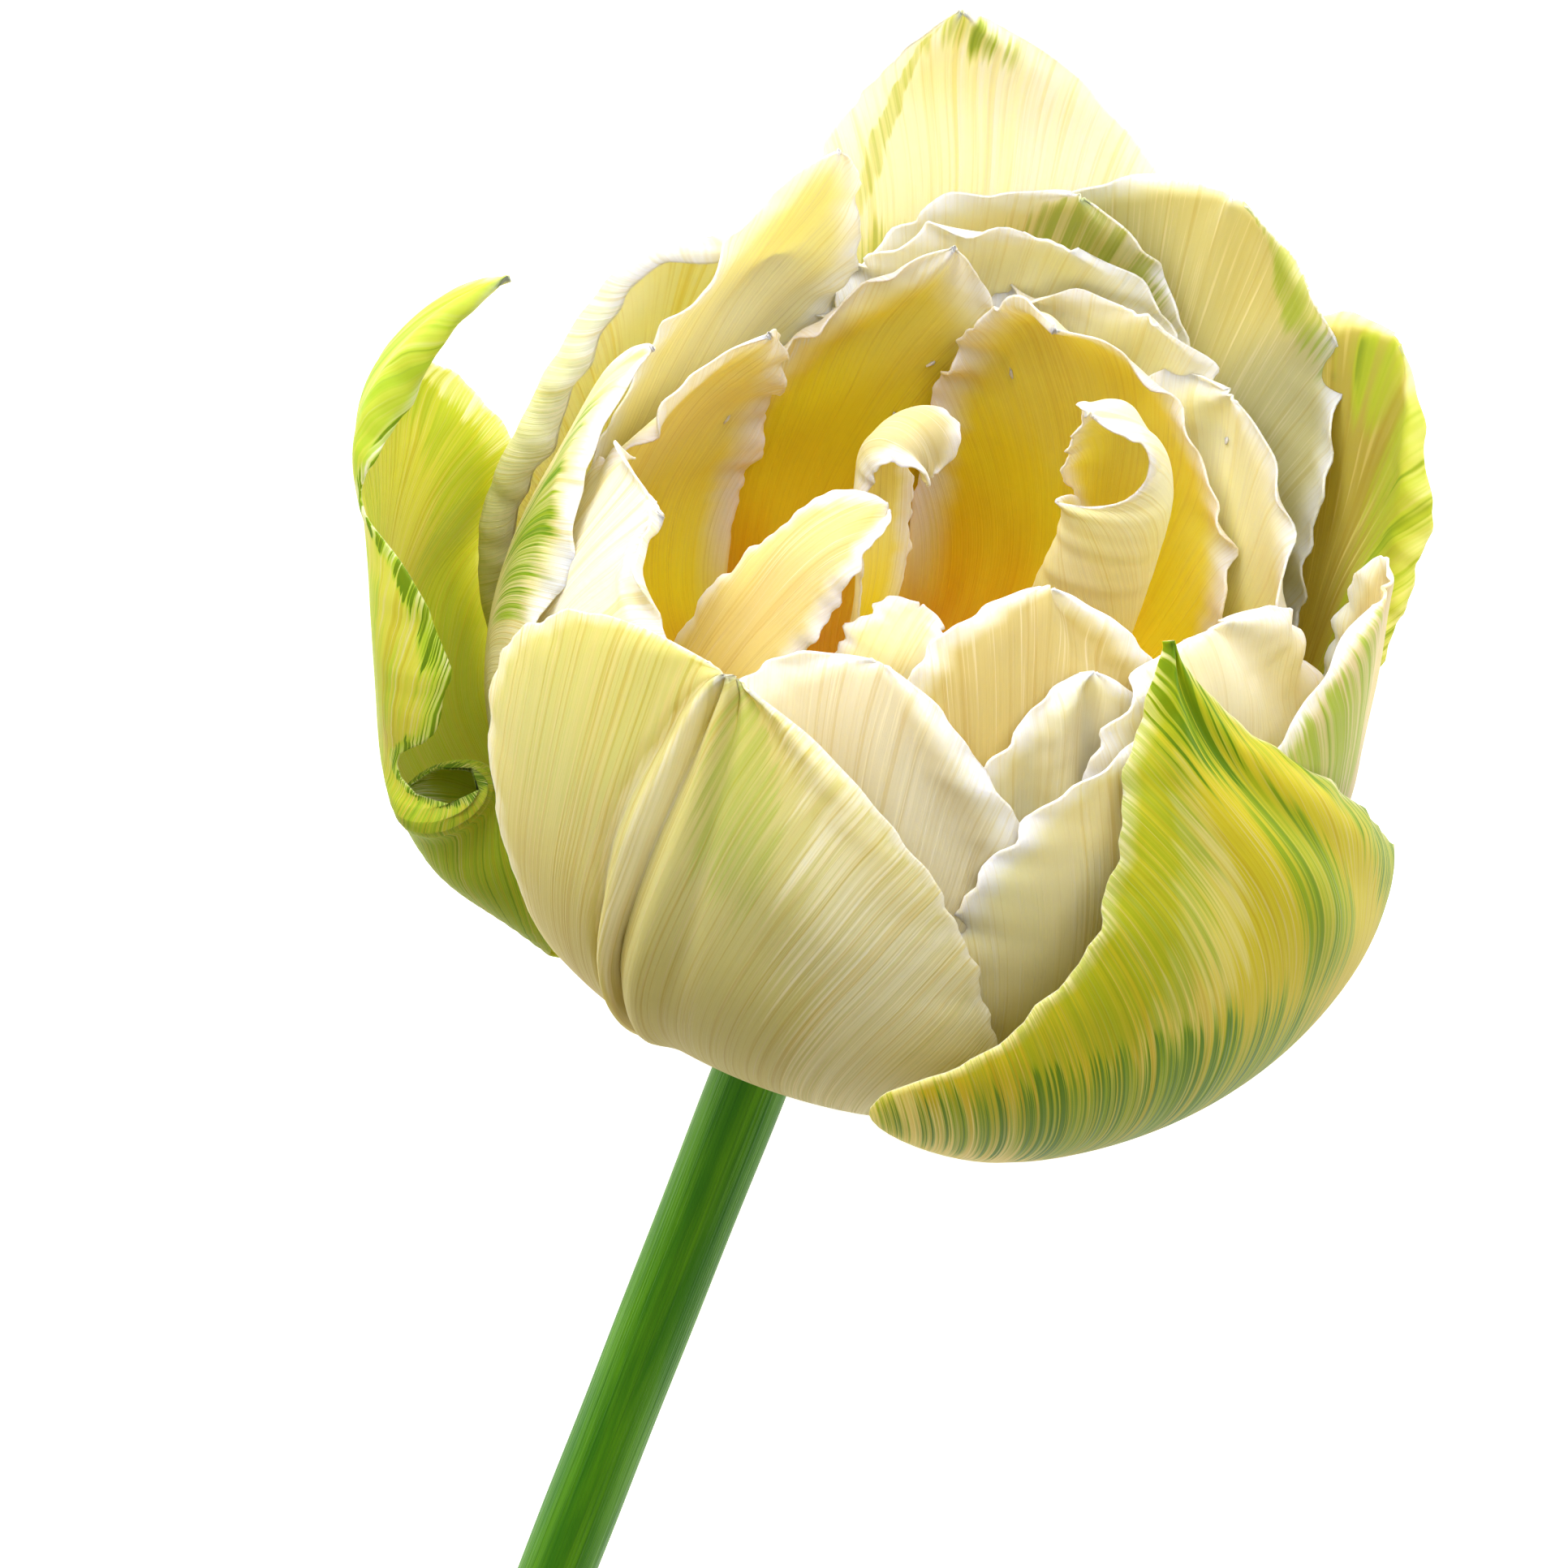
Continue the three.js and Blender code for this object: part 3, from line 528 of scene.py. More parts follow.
def midrib(p, v):
    """The midrib in the plane through the axis: a line that starts at the root, runs up the floor's
    slope, turns on the bend's radius to upright and then closes steadily towards the axis, with
    the hook added over its last part. Its radius and height are sums of the cosine and sine of
    that angle. Gives the whole length, and radius, height and angle at v."""
    upright = np.radians(90 - FLOOR_SLOPE)
    slope = np.radians(FLOOR_SLOPE)
    bend = BEND_RADIUS - p["depth"]
    floor = FLOOR_RUN + p["out"]
    to_wall = floor + bend * upright
    length = to_wall + p["rise"]
    s = np.linspace(0, length, MIDRIB_STEPS)
    up = np.clip((s - to_wall) / p["rise"], 0, None)
    angle = slope + np.clip((s - floor) / bend, 0, upright)
    angle += np.radians(p["close"]) * up + np.radians(p["hook"]) * smooth(up, 0.6, 1)
    angle += np.radians(run(p["lean"], s / length))
    r = ROOT_RADIUS - p["depth"] * np.sin(slope) + np.cumsum(np.cos(angle)) * s[1]
    z = ROOT_HEIGHT + p["depth"] * np.cos(slope) + np.cumsum(np.sin(angle)) * s[1]
    return length, *(np.interp(v * length, s, line) for line in (r, z, angle))


def half_width(p, v, left, rng):
    """Half width at v on each side: the outline's share of half, less the notches, which are a
    ripple between 0 and jag, and never less than the claw."""
    notch = np.where(left, ripple(v, p["notches"], rng), ripple(v, p["notches"], rng))
    share = np.where(left, run(p["left"], v), run(p["right"], v))
    width = p["half"] * share * outline(p, np.minimum(v, BLADE_END))
    width = width - (
        p["jag"] * (1 + notch) / 2 * smooth(v, *NOTCH_FADE) * smooth(width, *NOTCH_HALF)
    )
    return np.maximum(p["claw"] * (1 - smooth(v, *CLAW_FADE)) + LEAST_HALF, width)


def petal_surface(p, rng):
    """Middle surface of a petal. A point lies at the midrib's radius and height for v, and at a
    distance to the side of u times the half width, which becomes an azimuth. Beyond the flat part
    the margin bends on a circle until it has turned by the roll. Along the normal it then moves
    in by the cup, the waves and ruffles that grow towards the margin, the crease on the midrib, a
    slow swell and the folds. Gives points, and for each u, v, its distance from the midrib, its
    length along the petal and its distance from the margin."""
    v = (1 - (1 - np.linspace(0, 1, ROWS)) ** ROW_CROWDING)[:, None]
    u = np.linspace(-1, 1, int(COLUMNS * p["fine"]))[None, :]
    length, r, z, angle = midrib(p, v)
    free = smooth(v, p["free"], min(1, p["free"] + FREE_RUN))
    left = u < 0
    half = half_width(p, v, left, rng)

    band = run(p["band"], v)
    flat = (1 - band) * half
    turn = np.radians(np.where(left, run(p["roll_left"], v), run(p["roll_right"], v))) * free
    turn = np.where(np.abs(turn) > 0.01, turn, 0.01)
    bend = turn / (band * half)
    past = np.maximum(0, np.abs(u) * half - flat)
    side = np.where(past > 0, flat + np.sin(bend * past) / bend, np.abs(u) * half)

    inward = np.where(past > 0, (1 - np.cos(bend * past)) / bend, 0)
    inward = inward + p["cup"] * u * u * free
    wave = np.sin(2 * np.pi * p["waves"] * v)
    inward = inward + p["wave"] * np.abs(u) ** WAVE_POWER * wave * free
    inward = inward + p["crease"] * np.exp(-((u / CREASE_WIDTH) ** 2)) * free
    ruffle = np.where(left, ripple(v, p["crimps"], rng), ripple(v, p["crimps"], rng))
    grown = np.abs(u) ** RUFFLE_POWER
    inward = inward + p["ruffle"] * ruffle * grown * free * smooth(half, *RUFFLE_HALF)
    along, across = SWELL_CYCLES
    swell = ripple(v + 0.15 * u, along, rng) * ripple(u + 0.2 * v, across, rng)
    inward = inward + p["swell"] * swell * free
    for centre, spread, depth, start, end in p["folds"]:
        there = smooth(v, start, start + FOLD_FADE) * (1 - smooth(v, end - FOLD_FADE, end))
        inward = inward + depth * np.exp(-(((u - centre) / spread) ** 2)) * there

    phi = np.radians(run(p["at"], v)) + np.sign(u) * side / np.maximum(r, LEAST_RADIUS)
    radius = r - inward * np.sin(angle)
    height = z + inward * np.cos(angle)
    points = np.stack([radius * np.cos(phi), radius * np.sin(phi), height], -1)
    places = (u, v, u * half, v * length, half * (1 - np.abs(u)))
    return points, *(np.broadcast_to(values, points.shape[:2]) for values in places)


def bloom_matrix():
    """From the bloom's frame in millimetres to the row's frame in metres. The stem's solid gives
    the shift: its cut end and its middle are known before the flower is centred."""
    rise = np.radians(AXIS_RISE)
    low, high = (np.array(c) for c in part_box("stem"))
    drop = AXIS_HEIGHT - STEM_RADIUS - STEM_STRAIGHT * np.sin(rise)
    end = -STEM_STRAIGHT * np.cos(rise) - drop / (1 - np.cos(rise)) * np.sin(rise)
    turn = np.array([[-np.sin(rise), 0, np.cos(rise)], [0, -1, 0], [np.cos(rise), 0, np.sin(rise)]])
    origin = np.array([low[0] - end * MM, (low[1] + high[1]) / 2, AXIS_HEIGHT * MM])
    return turn, origin


TURN, ORIGIN = bloom_matrix()


def place(points):
    """Turns points of the bloom's frame to the row's frame and adds the bloom's root."""
    return points @ TURN * MM + ORIGIN


def grid_faces(rows, columns, start=0):
    """Quads of a grid of points in rows, counter-clockwise as seen with rows up, columns right."""
    i, j = np.meshgrid(np.arange(rows - 1), np.arange(columns - 1), indexing="ij")
    a = (start + i * columns + j).ravel()
    return np.stack([a, a + 1, a + columns + 1, a + columns], -1)


def new_piece(name, points, quads, triangles=()):
    """A mesh object from arrays of points, quads and triangles, smoothly shaded."""
    mesh = bpy.data.meshes.new(name)
    faces = [np.asarray(f, int).reshape(-1, n) for f, n in ((quads, 4), (triangles, 3))]
    corners = np.concatenate([f.ravel() for f in faces])
    counts = np.concatenate([np.full(len(f), f.shape[1]) for f in faces])
    mesh.vertices.add(len(points))
    mesh.vertices.foreach_set("co", np.asarray(points, np.float32).ravel())
    mesh.loops.add(len(corners))
    mesh.loops.foreach_set("vertex_index", corners.astype(np.int32))
    mesh.polygons.add(len(counts))
    mesh.polygons.foreach_set("loop_start", (np.cumsum(counts) - counts).astype(np.int32))
    mesh.polygons.foreach_set("use_smooth", np.ones(len(counts), bool))
    mesh.update(calc_edges=True)
    mesh.validate()
    piece = bpy.data.objects.new(name, mesh)
    bpy.context.scene.collection.objects.link(piece)
    return piece


def set_attribute(piece, name, x, y, z):
    """Stores three numbers a point as a vector attribute."""
    values = np.stack([np.ravel(x), np.ravel(y), np.ravel(z)], -1).astype(np.float32)
    layer = piece.data.attributes.new(name, "FLOAT_VECTOR", "POINT")
    layer.data.foreach_set("vector", values.ravel())


def make_blade(name, p, rng):
    """A closed petal: its middle surface moved half a thickness to each side along the normals,
    which are the cross product of the steps across and along, with the rim closed by quads. Where
    it lies on the table its outer face is flat on it. The attribute blade holds u, v and 1 on the
    outer face or 0 on the inner one. The attribute vein holds a number that stays the same along a
    vein, the length along the petal and the distance from the margin, in millimetres."""
    points, u, v, across, extent, margin = petal_surface(p, rng)
    rows, columns = u.shape
    normal = np.cross(np.gradient(points, axis=1), np.gradient(points, axis=0))
    normal /= np.linalg.norm(normal, axis=-1, keepdims=True) + 1e-9
    thick = BLADE_MARGIN + (BLADE - BLADE_MARGIN) * smooth(margin, 0, MARGIN_RUN)[..., None]
    outer = place((points + normal * thick / 2).reshape(-1, 3))
    inner = place((points - normal * thick / 2).reshape(-1, 3))
    outer[:, 2] = np.maximum(outer[:, 2], 0)
    inner[:, 2] = np.maximum(inner[:, 2], BLADE * MM)
    count = rows * columns
    index = np.arange(count).reshape(rows, columns)
    rim = np.concatenate([index[0, :-1], index[:-1, -1], index[-1, :0:-1], index[:0:-1, 0]])
    after = np.roll(rim, -1)
    front = grid_faces(rows, columns)
    back = grid_faces(rows, columns, count)[:, ::-1]
    edge = np.stack([rim + count, after + count, after, rim], -1)
    piece = new_piece(name, np.concatenate([outer, inner]), np.concatenate([front, back, edge]))
    two = lambda x: np.concatenate([np.ravel(x), np.ravel(x)])
    set_attribute(piece, "blade", two(u), two(v), np.repeat([1.0, 0.0], count))
    vein = across * np.exp(-extent / p["fan"]) * np.exp(VEIN_LENGTH / p["fan"])
    set_attribute(piece, "vein", two(vein), two(extent), two(margin))
    return piece


def tube(name, centres, tangent, side, radii, lobes=0.0, sides=48):
    """A round solid along a path: rings of the given radii across the tangents, where the radius
    swells by the share lobes three times round, closed by a fan at each end. The attribute around
    holds the cosine and sine of the angle, and the length along the path in millimetres."""
    count = len(centres)
    angle = np.linspace(0, 2 * np.pi, sides, endpoint=False)
    up = np.cross(np.broadcast_to(tangent, centres.shape), side)
    swell = 1 + np.broadcast_to(lobes, count)[:, None] * np.cos(3 * angle)[None, :]
    ring = radii[:, None] * swell
    points = (centres[:, None, :] - up[:, None, :] * (ring * np.cos(angle))[..., None]
              + side * (ring * np.sin(angle))[..., None]).reshape(-1, 3)
    i, j = np.meshgrid(np.arange(count - 1), np.arange(sides), indexing="ij")
    a, b = (i * sides + j).ravel(), (i * sides + (j + 1) % sides).ravel()
    quads = np.stack([a, b, b + sides, a + sides], -1)
    j = np.arange(sides)
    low = np.stack([np.full(sides, count * sides), (j + 1) % sides, j], -1)
    top = (count - 1) * sides
    high = np.stack([np.full(sides, count * sides + 1), top + j, top + (j + 1) % sides], -1)
    points = np.concatenate([points, centres[:1], centres[-1:]])
    piece = new_piece(name, points, quads, np.concatenate([low, high]))
    step = np.linalg.norm(np.diff(centres, axis=0), axis=1) / MM
    length = np.concatenate([[0], np.cumsum(step)])
    ends = lambda x, first, last: np.concatenate([x.ravel(), [first, last]])
    set_attribute(
        piece, "around",
        ends(np.tile(np.cos(angle), count), 0, 0), ends(np.tile(np.sin(angle), count), 0, 0),
        ends(np.repeat(length, sides), length[0], length[-1]),
    )
    return piece


# ---------------------------------------------------------------- materials

class Nodes:
    """Short calls that add nodes to a node tree. Inputs are sockets, or values for them."""

    def __init__(self, tree):
        self.tree = tree

    def link(self, value, socket):
        """Leads a socket's output into this one, or gives this one a value."""
        if isinstance(value, bpy.types.NodeSocket):
            self.tree.links.new(value, socket)
        else:
            socket.default_value = value

    def add(self, kind, inputs, output=0, **settings):
        """One output of a new node, or all of them where output is None."""
        node = self.tree.nodes.new(kind)
        for key, value in settings.items():
            setattr(node, key, value)
        for key, value in inputs.items():
            self.link(value, node.inputs[key])
        return node.outputs if output is None else node.outputs[output]

    def math(self, operation, a, b):
        return self.add("ShaderNodeMath", {0: a, 1: b}, operation=operation)

    def times(self, a, b):
        return self.math("MULTIPLY", a, b)

    def plus(self, a, b):
        return self.math("ADD", a, b)

    def ramp(self, value, start, end, low=0.0, high=1.0):
        inputs = {0: value, 1: start, 2: end, 3: low, 4: high}
        return self.add("ShaderNodeMapRange", inputs, interpolation_type="SMOOTHSTEP")

    def blend(self, factor, a, b, kind="MIX"):
        inputs = {0: factor, 6: a, 7: b}
        return self.add("ShaderNodeMix", inputs, 2, data_type="RGBA", blend_type=kind)

    def attribute(self, name):
        vector = self.add("ShaderNodeAttribute", {}, 1, attribute_name=name)
        return self.add("ShaderNodeSeparateXYZ", {0: vector}, None)

    def vector(self, x, y, z):
        return self.add("ShaderNodeCombineXYZ", {0: x, 1: y, 2: z})

    def noise(self, vector, detail=2.0, roughness=0.5, scale=1.0):
        inputs = {"Vector": vector, "Scale": scale, "Detail": detail, "Roughness": roughness}
        return self.add("ShaderNodeTexNoise", inputs)

    def group(self, group, inputs, output=0):
        return self.add("ShaderNodeGroup", inputs, output, node_tree=group)


def new_group(name, inputs, outputs):
    """An empty shader node group with named inputs, each a number or a colour, and outputs."""
    group = bpy.data.node_groups.new(name, "ShaderNodeTree")
    for key, value in inputs.items():
        kind = "NodeSocketFloat" if np.isscalar(value) else "NodeSocketColor"
        group.interface.new_socket(key, in_out="INPUT", socket_type=kind).default_value = value
    for key, kind in outputs.items():
        group.interface.new_socket(key, in_out="OUTPUT", socket_type="NodeSocket" + kind)
    start = group.nodes.new("NodeGroupInput")
    end = group.nodes.new("NodeGroupOutput")
    return group, Nodes(group), start.outputs, end.inputs


def make_streaks():
    """Streaks that follow the veins: noise stretched along them, between 0 and 1."""
    inputs = {"Across": 1.0, "Along": 0.02, "Seed": 0.0}
    group, n, given, out = new_group("vein_streaks", inputs, {"Value": "Float"})
    vein = n.attribute("vein")
    x = n.times(vein[0], given["Across"])
    y = n.times(vein[1], given["Along"])
    n.link(n.noise(n.vector(x, y, given["Seed"]), 2.0, 0.6), out["Value"])
    return group


def make_patch(streaks):
    """A patch for the green flushes and for the white places, which are real white tissue on some
    petals and painted highlights on others: an ellipse on the blade, solid in the middle and broken
    into veins towards its edge. The level is 0.9 times the ellipse plus 0.6 times the streaks'
    contrast."""
    inputs = {"U": 0.0, "V": 0.5, "Width": 0.3, "Length": 0.3, "Amount": 1.0, "Seed": 0.0}
    group, n, given, out = new_group("veined_patch", inputs, {"Value": "Float"})
    blade = n.attribute("blade")
    x = n.math("DIVIDE", n.math("SUBTRACT", blade[0], given["U"]), given["Width"])
    y = n.math("DIVIDE", n.math("SUBTRACT", blade[1], given["V"]), given["Length"])
    inside = n.ramp(n.plus(n.times(x, x), n.times(y, y)), 1.6, 0.0)
    fine = n.group(streaks, {**PATCH_FINE, "Seed": given["Seed"]})
    broad = n.group(streaks, {**PATCH_BROAD, "Seed": given["Seed"]})
    contrast = n.ramp(n.plus(n.times(fine, 0.55), n.times(broad, 0.45)), 0.36, 0.64)
    level = n.plus(n.times(inside, 0.9), n.times(contrast, 0.6))
    veined = n.times(n.ramp(level, 0.6, 1.15), n.ramp(inside, 0.0, 0.2))
    stripes = n.ramp(fine, 0.4, 0.6, 0.62, 1.0)
    n.link(n.times(n.times(veined, stripes), given["Amount"]), out["Value"])
    return group


def make_tissue(streaks):
    """Petal tissue: deep gold at the claw, then gold, pale yellow and the body colour towards the
    tip, white along the margin and on white patches, some of which are painted highlights, painted
    shade in a tan tone low on the outer face, a painted sheen of pale streaks between darker veins,
    and green where the flush is. The outer face pales much nearer to the claw than the inner one."""
    outputs = {"Color": "Color", "Roughness": "Float", "Height": "Float"}
    group, n, given, out = new_group("petal_tissue", TISSUE, outputs)
    blade = n.attribute("blade")
    vein = n.attribute("vein")
    fine = n.group(streaks, {**FINE_VEINS, "Seed": given["Seed"]})
    silk = n.group(streaks, {**SILK, "Seed": given["Seed"]})
    x = n.times(vein[0], CLOUD["Across"])
    cloud = n.noise(n.vector(x, n.times(vein[1], CLOUD["Along"]), given["Seed"]))

    # Colours along the petal, whose places are shares of the golden reach
    spot = n.plus(blade[1], n.times(n.math("SUBTRACT", cloud, 0.5), CLOUD_SHIFT))
    spot = n.plus(spot, n.times(n.math("SUBTRACT", fine, 0.5), VEIN_SHIFT))
    spot = n.plus(spot, n.times(blade[2], OUTER_SHIFT))
    reach = given["Reach"]
    gold = n.ramp(spot, n.times(reach, 0.35), n.times(reach, 0.75))
    pale = n.ramp(spot, n.times(reach, 0.7), n.plus(reach, 0.06))
    body = n.ramp(spot, n.times(reach, 0.95), n.plus(reach, 0.3))
    tone = n.blend(gold, given["Deep"], given["Gold"])
    tone = n.blend(pale, tone, given["Pale"])
    warm = n.times(n.ramp(cloud, 0.4, 0.7), 0.4)
    tone = n.blend(body, tone, n.blend(warm, given["Body"], given["Pale"]))

    # White margins above the claw, and white patches, both real white tissue and painted highlights
    rim = n.ramp(vein[2], n.times(given["Margin"], 1.5), 0.0)
    rim = n.times(rim, n.ramp(blade[1], 0.35, 0.6))
    tone = n.blend(n.math("MAXIMUM", rim, given["Bleach"]), tone, given["White"])

    # Painted shade in a tan tone low on the outer face, a painted sheen of pale streaks on the body
    # colour, and darker veins
    painted_shade = n.times(n.ramp(blade[1], 0.85, 0.3), blade[2])
    tone = n.blend(painted_shade, tone, n.blend(1.0, tone, PAINTED_SHADE_TONE, "MULTIPLY"))
    painted_sheen = n.times(n.times(n.ramp(silk, 0.54, 0.7), 0.34), body)
    tone = n.blend(painted_sheen, tone, given["White"])
    lines = n.math("MAXIMUM", n.ramp(fine, 0.5, 0.68), n.times(n.ramp(silk, 0.52, 0.66), 0.6))
    amount = n.times(lines, n.times(given["Veins"], 0.6))
    tone = n.blend(amount, tone, n.blend(1.0, tone, VEIN_TONE, "MULTIPLY"))

    # Green flushes, weaker on the inner face, and dark green on their strongest veins
    face = n.ramp(blade[2], 0.0, 1.0, given["Inner green"], 1.0)
    flush = n.times(given["Flush"], face)
    dark = n.times(n.ramp(n.plus(fine, flush), 1.3, 1.65), 0.85)
    tone = n.blend(flush, tone, n.blend(dark, given["Green"], given["Dark green"]))

    n.link(tone, out["Color"])
    n.link(n.ramp(silk, 0.3, 0.7, 0.4, 0.58), out["Roughness"])
    n.link(n.plus(n.times(fine, 0.65), n.times(silk, 0.35)), out["Height"])
    return group


def new_material(name):
    """A material with only an output, and short calls for its tree."""
    material = bpy.data.materials.new(name)
    material.use_nodes = True
    material.node_tree.nodes.clear()
    return material, Nodes(material.node_tree)


def finish_material(n, inputs, height=None, strength=0.0, depth=0.0):
    """Ends a material in a Principled shader, in relief where it has a height. Depth is metres."""
    if height is not None:
        relief = {"Height": height, "Strength": strength, "Distance": depth}
        inputs["Normal"] = n.add("ShaderNodeBump", relief)
    end = n.tree.nodes.new("ShaderNodeOutputMaterial")
    n.link(n.add("ShaderNodeBsdfPrincipled", inputs), end.inputs["Surface"])


def petal_material(name, look, seed, tissue, patch):
    """Tissue with its flushes and white places, some of them painted highlights, on a soft,
    light-passing skin with a fine vein relief. Patches of one kind join by the greater of their
    values."""
    material, n = new_material(name)
    inputs = {"Seed": seed + 0.11}
    for key in ("flush", "bleach"):
        whole = key.capitalize()
        for k, (u, v, width, length, amount) in enumerate(look.get(key, ())):
            spot = {"U": u, "V": v, "Width": width, "Length": length, "Amount": amount}
            mask = n.group(patch, {**spot, "Seed": seed + 0.37 * k + 5 * (key == "bleach")})
            inputs[whole] = mask if k == 0 else n.math("MAXIMUM", inputs[whole], mask)
    inputs.update({key: value for key, value in look.items() if key[0].isupper()})
    tone, rough, height = n.group(tissue, inputs, None)
    finish_material(n, {
        "Base Color": tone, "Roughness": rough, "IOR": 1.4, "Specular IOR Level": 0.2,
        "Subsurface Weight": 0.8, "Subsurface Radius": (1.0, 0.85, 0.45),
        "Subsurface Scale": 0.0018, "Sheen Weight": 0.02, "Sheen Roughness": 0.4,
    }, height, 0.6, 0.00025)
    return material


def stem_material():
    """Smooth green scape with soft lengthwise mottling and fine ribs."""
    material, n = new_material("scape_green")
    around = n.attribute("around")
    x, y = n.times(around[0], 2.2), n.times(around[1], 2.2)
    soft = n.noise(n.vector(x, y, n.times(around[2], 0.035)), 3.0, 0.6)
    ribs = n.noise(n.vector(n.times(x, 7.0), n.times(y, 7.0), n.times(around[2], 0.03)))
    tone = n.blend(n.ramp(soft, 0.3, 0.72), STEM_DARK, STEM_LIGHT)
    tone = n.blend(n.times(n.ramp(ribs, 0.45, 0.7), 0.35), tone, STEM_RIB)
    finish_material(n, {
        "Base Color": tone, "Roughness": n.ramp(ribs, 0.3, 0.7, 0.36, 0.5),
        "Subsurface Weight": 0.2, "Subsurface Radius": (0.5, 1.0, 0.2),
        "Subsurface Scale": 0.001, "Specular IOR Level": 0.15,
    }, ribs, 0.5, 0.0002)
    return material


def speckled_material(name, main, fleck, scale, roughness):
    """Soft tissue with flecks of a second colour, for the pistil and the pollen."""
    material, n = new_material(name)
    where = n.add("ShaderNodeTexCoord", {}, "Object")
    grain = n.noise(where, 3.0, 0.6, scale)
    tone = n.blend(n.ramp(grain, 0.4, 0.65), main, fleck)
    finish_material(n, {
        "Base Color": tone, "Roughness": roughness, "Subsurface Weight": 0.2,
        "Subsurface Radius": (0.8, 1.0, 0.3), "Subsurface Scale": 0.001,
    }, grain, 0.6, 0.0003)
    return material


def floor_material():
    """Pale studio paper that glows a little, with the faintest grain."""
    material, n = new_material("pale_studio_paper")
    where = n.add("ShaderNodeTexCoord", {}, "Object")
    grain = n.noise(where, scale=900.0)
    tone = n.blend(n.times(grain, 0.06), FLOOR_LIGHT, FLOOR_GRAIN)
    finish_material(n, {
        "Base Color": tone, "Roughness": 0.9, "Specular IOR Level": 0.1,
        "Emission Color": (1, 1, 1, 1), "Emission Strength": FLOOR_GLOW,
    })
    return material


# ---------------------------------------------------------------- the flower

def wear(piece, material, node):
    """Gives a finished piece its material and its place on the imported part."""
    piece.data.materials.append(material)
    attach(piece, "root")
    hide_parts(node)


def make_petals():
    """Every petal's blade, each with its own phases and a tissue of its own."""
    streaks = make_streaks()
    tissue = make_tissue(streaks)
    patch = make_patch(streaks)
    for k, (node, shape) in enumerate(PETALS.items()):
        rng = np.random.default_rng(PETAL_SEED + k)
        look = LOOKS[node]
        piece = make_blade(node + "_blade", {**PLAIN, **shape, **look}, rng)
        material = petal_material(node + "_tissue", look, 1.7 * k, tissue, patch)
        wear(piece, material, node)


def make_stem():
    """The stem's centre line runs straight back from the bloom and then levels out on an arc to
    lie on the table, and the receptacle widens from it. A slow ripple makes its radius uneven."""
    rise = np.radians(AXIS_RISE)
    drop = AXIS_HEIGHT - STEM_RADIUS - STEM_STRAIGHT * np.sin(rise)
    bend = drop / (1 - np.cos(rise))
    slope = np.linspace(0, rise, 60)
    x = -STEM_STRAIGHT * np.cos(rise) - bend * (np.sin(rise) - np.sin(slope))
    z = STEM_RADIUS + bend * (1 - np.cos(slope)) - AXIS_HEIGHT
    lie = np.stack([x, 0 * x, z], -1)
    along = np.array([np.cos(rise), 0, np.sin(rise)])
    places, widths = np.array(RECEPTACLE).T
    scape = np.linspace(-STEM_STRAIGHT + 1, places[0] - 1, 50)
    reach = np.concatenate([scape, np.linspace(places[0], places[-1], 40)])
    straight = along * reach[:, None]
    centres = np.concatenate([lie, straight]) * MM + ORIGIN
    across = np.stack([np.cos(slope), 0 * slope, np.sin(slope)], -1)
    tangents = np.concatenate([across, np.tile(along, (len(reach), 1))])
    radii = np.concatenate([np.full(60, STEM_RADIUS), np.interp(reach, places, widths)])
    waves = ripple(np.linspace(0, 1, len(radii)), STEM_CYCLES, np.random.default_rng(STEM_SEED))
    uneven = 1 - STEM_UNEVEN * (1 + waves)
    piece = tube("scape", centres, tangents, np.array([0.0, 1.0, 0.0]), radii * uneven * MM)
    wear(piece, stem_material(), "stem")


def make_heart():
    """Pistil and stamens on the receptacle's tip: profiles through the solids' own radii."""
    side = np.array([0.0, 1.0, 0.0])
    axis = np.array([0.0, 0.0, 1.0])
    heights, widths, shares = np.array(PISTIL).T
    height = np.linspace(0, heights[-1], 50)
    radii = np.interp(height, heights, widths)
    lobes = np.interp(height, heights, shares)
    centres = axis * (HEART_ROOT + height)[:, None]
    piece = tube("ovary_and_stigma", place(centres), axis @ TURN, side @ TURN, radii * MM,
                 lobes, 36)
    wear(piece, speckled_material("ovary", *OVARY, 700.0, 0.5), "pistil")

    pollen = speckled_material("pollen", *POLLEN, 1500.0, 0.85)
    lengths, widths = np.array(STAMEN).T
    length = np.linspace(0, lengths[-1], 40)
    radii = np.interp(length, lengths, widths)
    tilt = np.radians(STAMEN_LEAN)
    for k in range(STAMEN_COUNT):
        phi = 2 * np.pi * (k + 0.5) / STAMEN_COUNT
        out = np.array([np.cos(phi), np.sin(phi), 0])
        lean = np.sin(tilt) * out + np.cos(tilt) * axis
        centres = STAMEN_RING * out + axis * HEART_ROOT + lean * length[:, None]
        piece = tube(f"filament_and_anther_{k + 1}", place(centres), lean @ TURN,
                     np.cross(axis, out) @ TURN, radii * MM, sides=16)
        wear(piece, pollen, f"stamen_{k + 1}")


# ---------------------------------------------------------------- camera and light

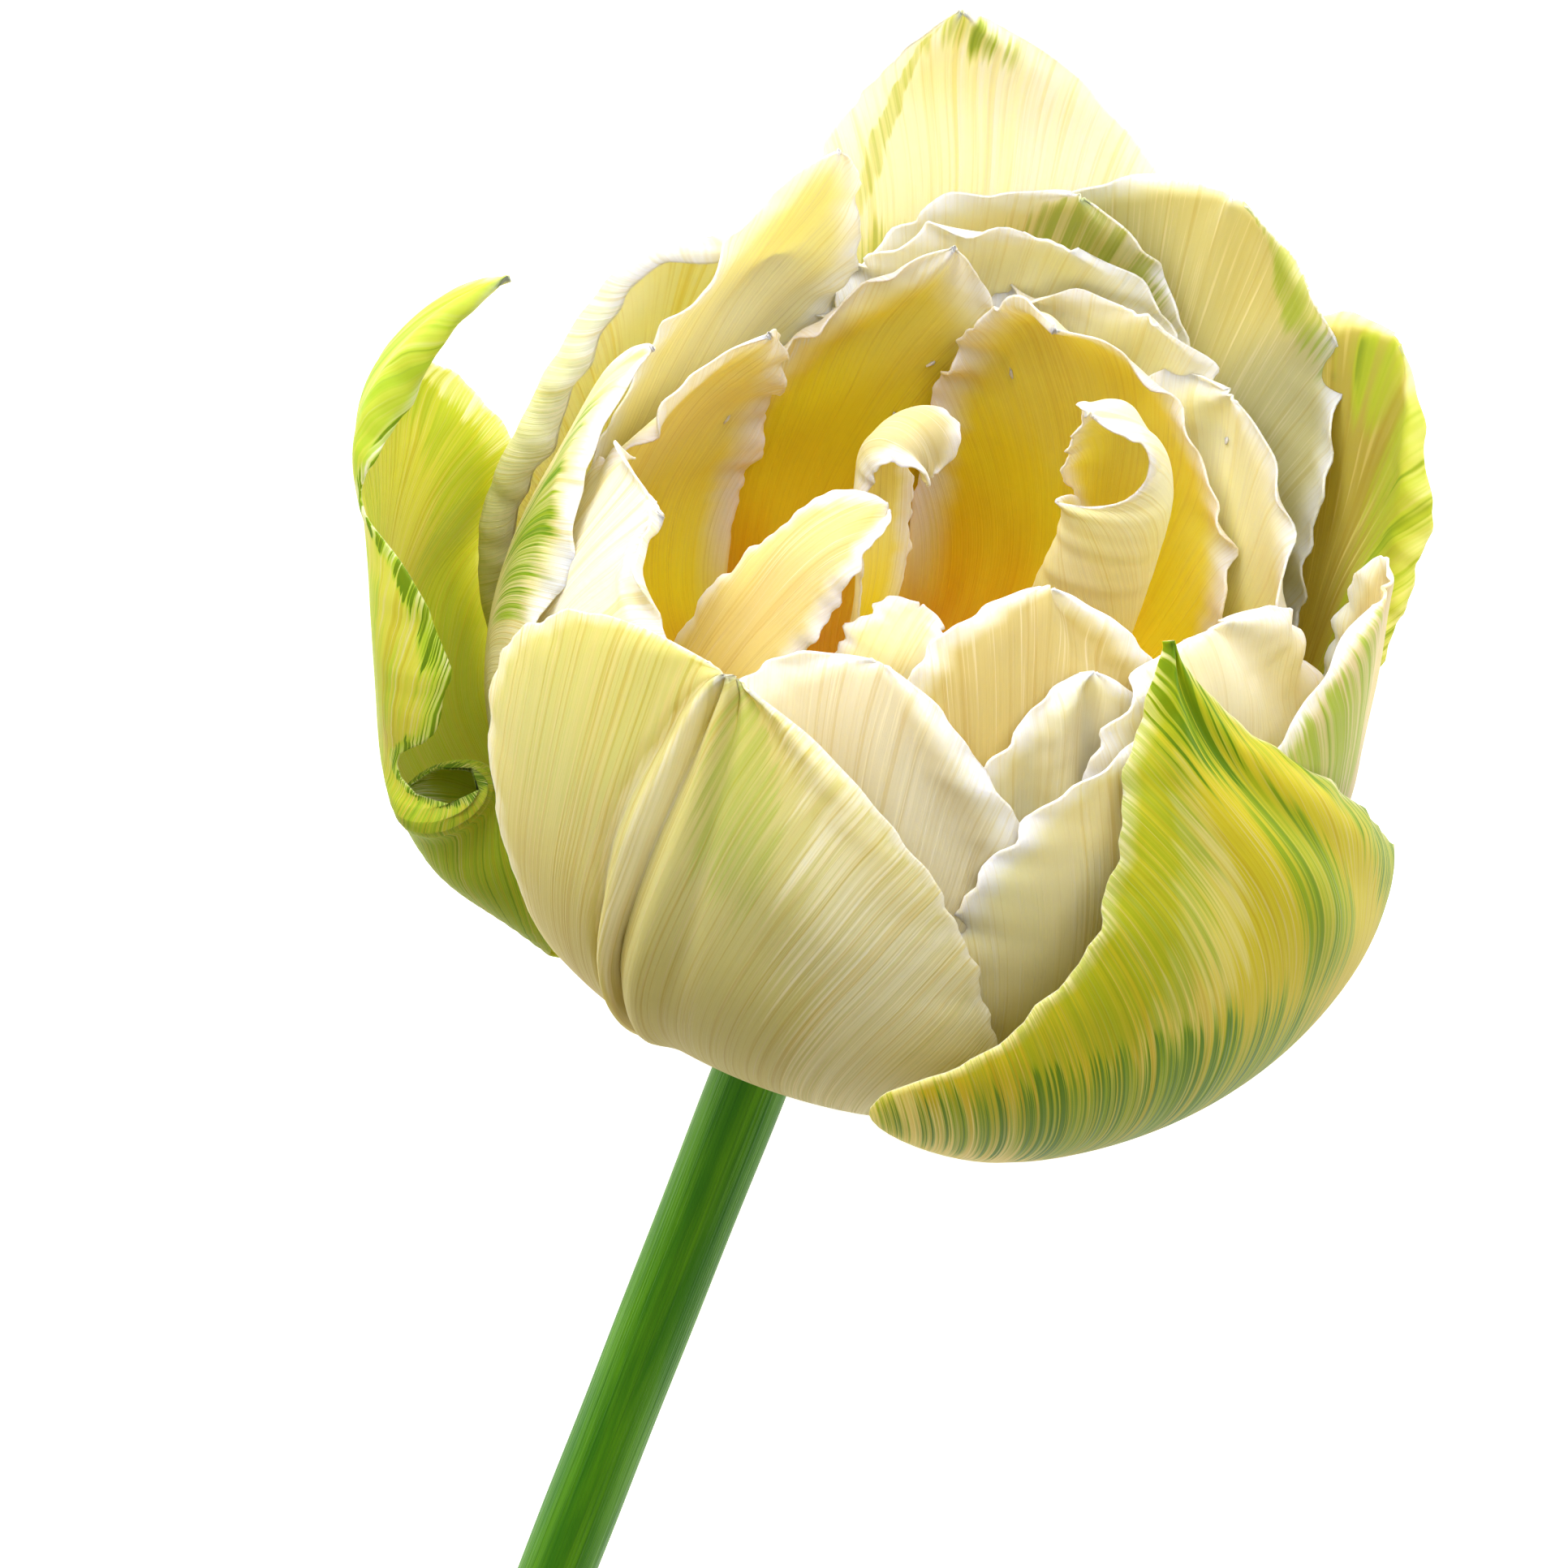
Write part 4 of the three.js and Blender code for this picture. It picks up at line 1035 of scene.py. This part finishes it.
def view_axes():
    """Right, up and towards the camera, in the bloom's frame: the flower's axis stands at the view
    angle to the line of sight, and the picture is turned about that line."""
    s, c = np.sin(np.radians(VIEW_TURN)), np.cos(np.radians(VIEW_TURN))
    sv, cv = np.sin(np.radians(VIEW_ANGLE)), np.cos(np.radians(VIEW_ANGLE))
    return np.array([[-cv * s, c, sv * s], [-cv * c, -s, sv * c], [sv, 0, cv]])


def make_camera():
    """The camera stands back along the line of sight, off the bloom's root by the picture's
    centre, and keeps the picture's axes."""
    axes = view_axes()
    where = np.array([*VIEW_CENTRE, VIEW_DEPTH + VIEW_DISTANCE]) @ axes
    data = bpy.data.cameras.new("camera")
    data.lens = LENS
    data.sensor_width = SENSOR
    data.clip_start, data.clip_end = CLIP
    camera = bpy.data.objects.new("camera", data)
    bpy.context.scene.collection.objects.link(camera)
    matrix = np.eye(4)
    matrix[:3, :3] = (axes @ TURN).T
    matrix[:3, 3] = place(where)
    camera.matrix_world = Matrix(matrix.tolist())
    bpy.context.scene.camera = camera


def make_lamp(name, direction, distance, size, power, tint):
    """A square soft light that looks at the bloom, placed by steps to the camera's right, up and
    back from the middle of the bloom."""
    target = place(np.array([0, 0, LAMP_TARGET]))
    away = np.array(direction) @ (view_axes() @ TURN)
    away /= np.linalg.norm(away)
    data = bpy.data.lights.new(name, "AREA")
    data.size = size
    data.energy = power
    data.color = tint
    lamp = bpy.data.objects.new(name, data)
    aim = Vector((-away).tolist()).to_track_quat("-Z", "Y").to_matrix().to_4x4()
    lamp.matrix_world = Matrix.Translation((target + away * distance).tolist()) @ aim
    bpy.context.scene.collection.objects.link(lamp)


def make_room():
    """A large pale floor, an even white sky and soft lights."""
    corners = np.array([[-1, -1, 0], [1, -1, 0], [1, 1, 0], [-1, 1, 0]]) * FLOOR_HALF
    corners[:, 2] = FLOOR_LEVEL
    floor = new_piece("studio_floor", corners, [[0, 1, 2, 3]])
    floor.data.materials.append(floor_material())
    world = bpy.data.worlds.new("even_white")
    world.use_nodes = True
    sky = world.node_tree.nodes["Background"].inputs
    sky["Color"].default_value = SKY_TINT
    sky["Strength"].default_value = SKY
    bpy.context.scene.world = world
    for lamp in LAMPS:
        make_lamp(**lamp)
    bpy.context.scene.view_settings.view_transform = "Standard"


make_petals()
make_stem()
make_heart()
make_camera()
make_room()
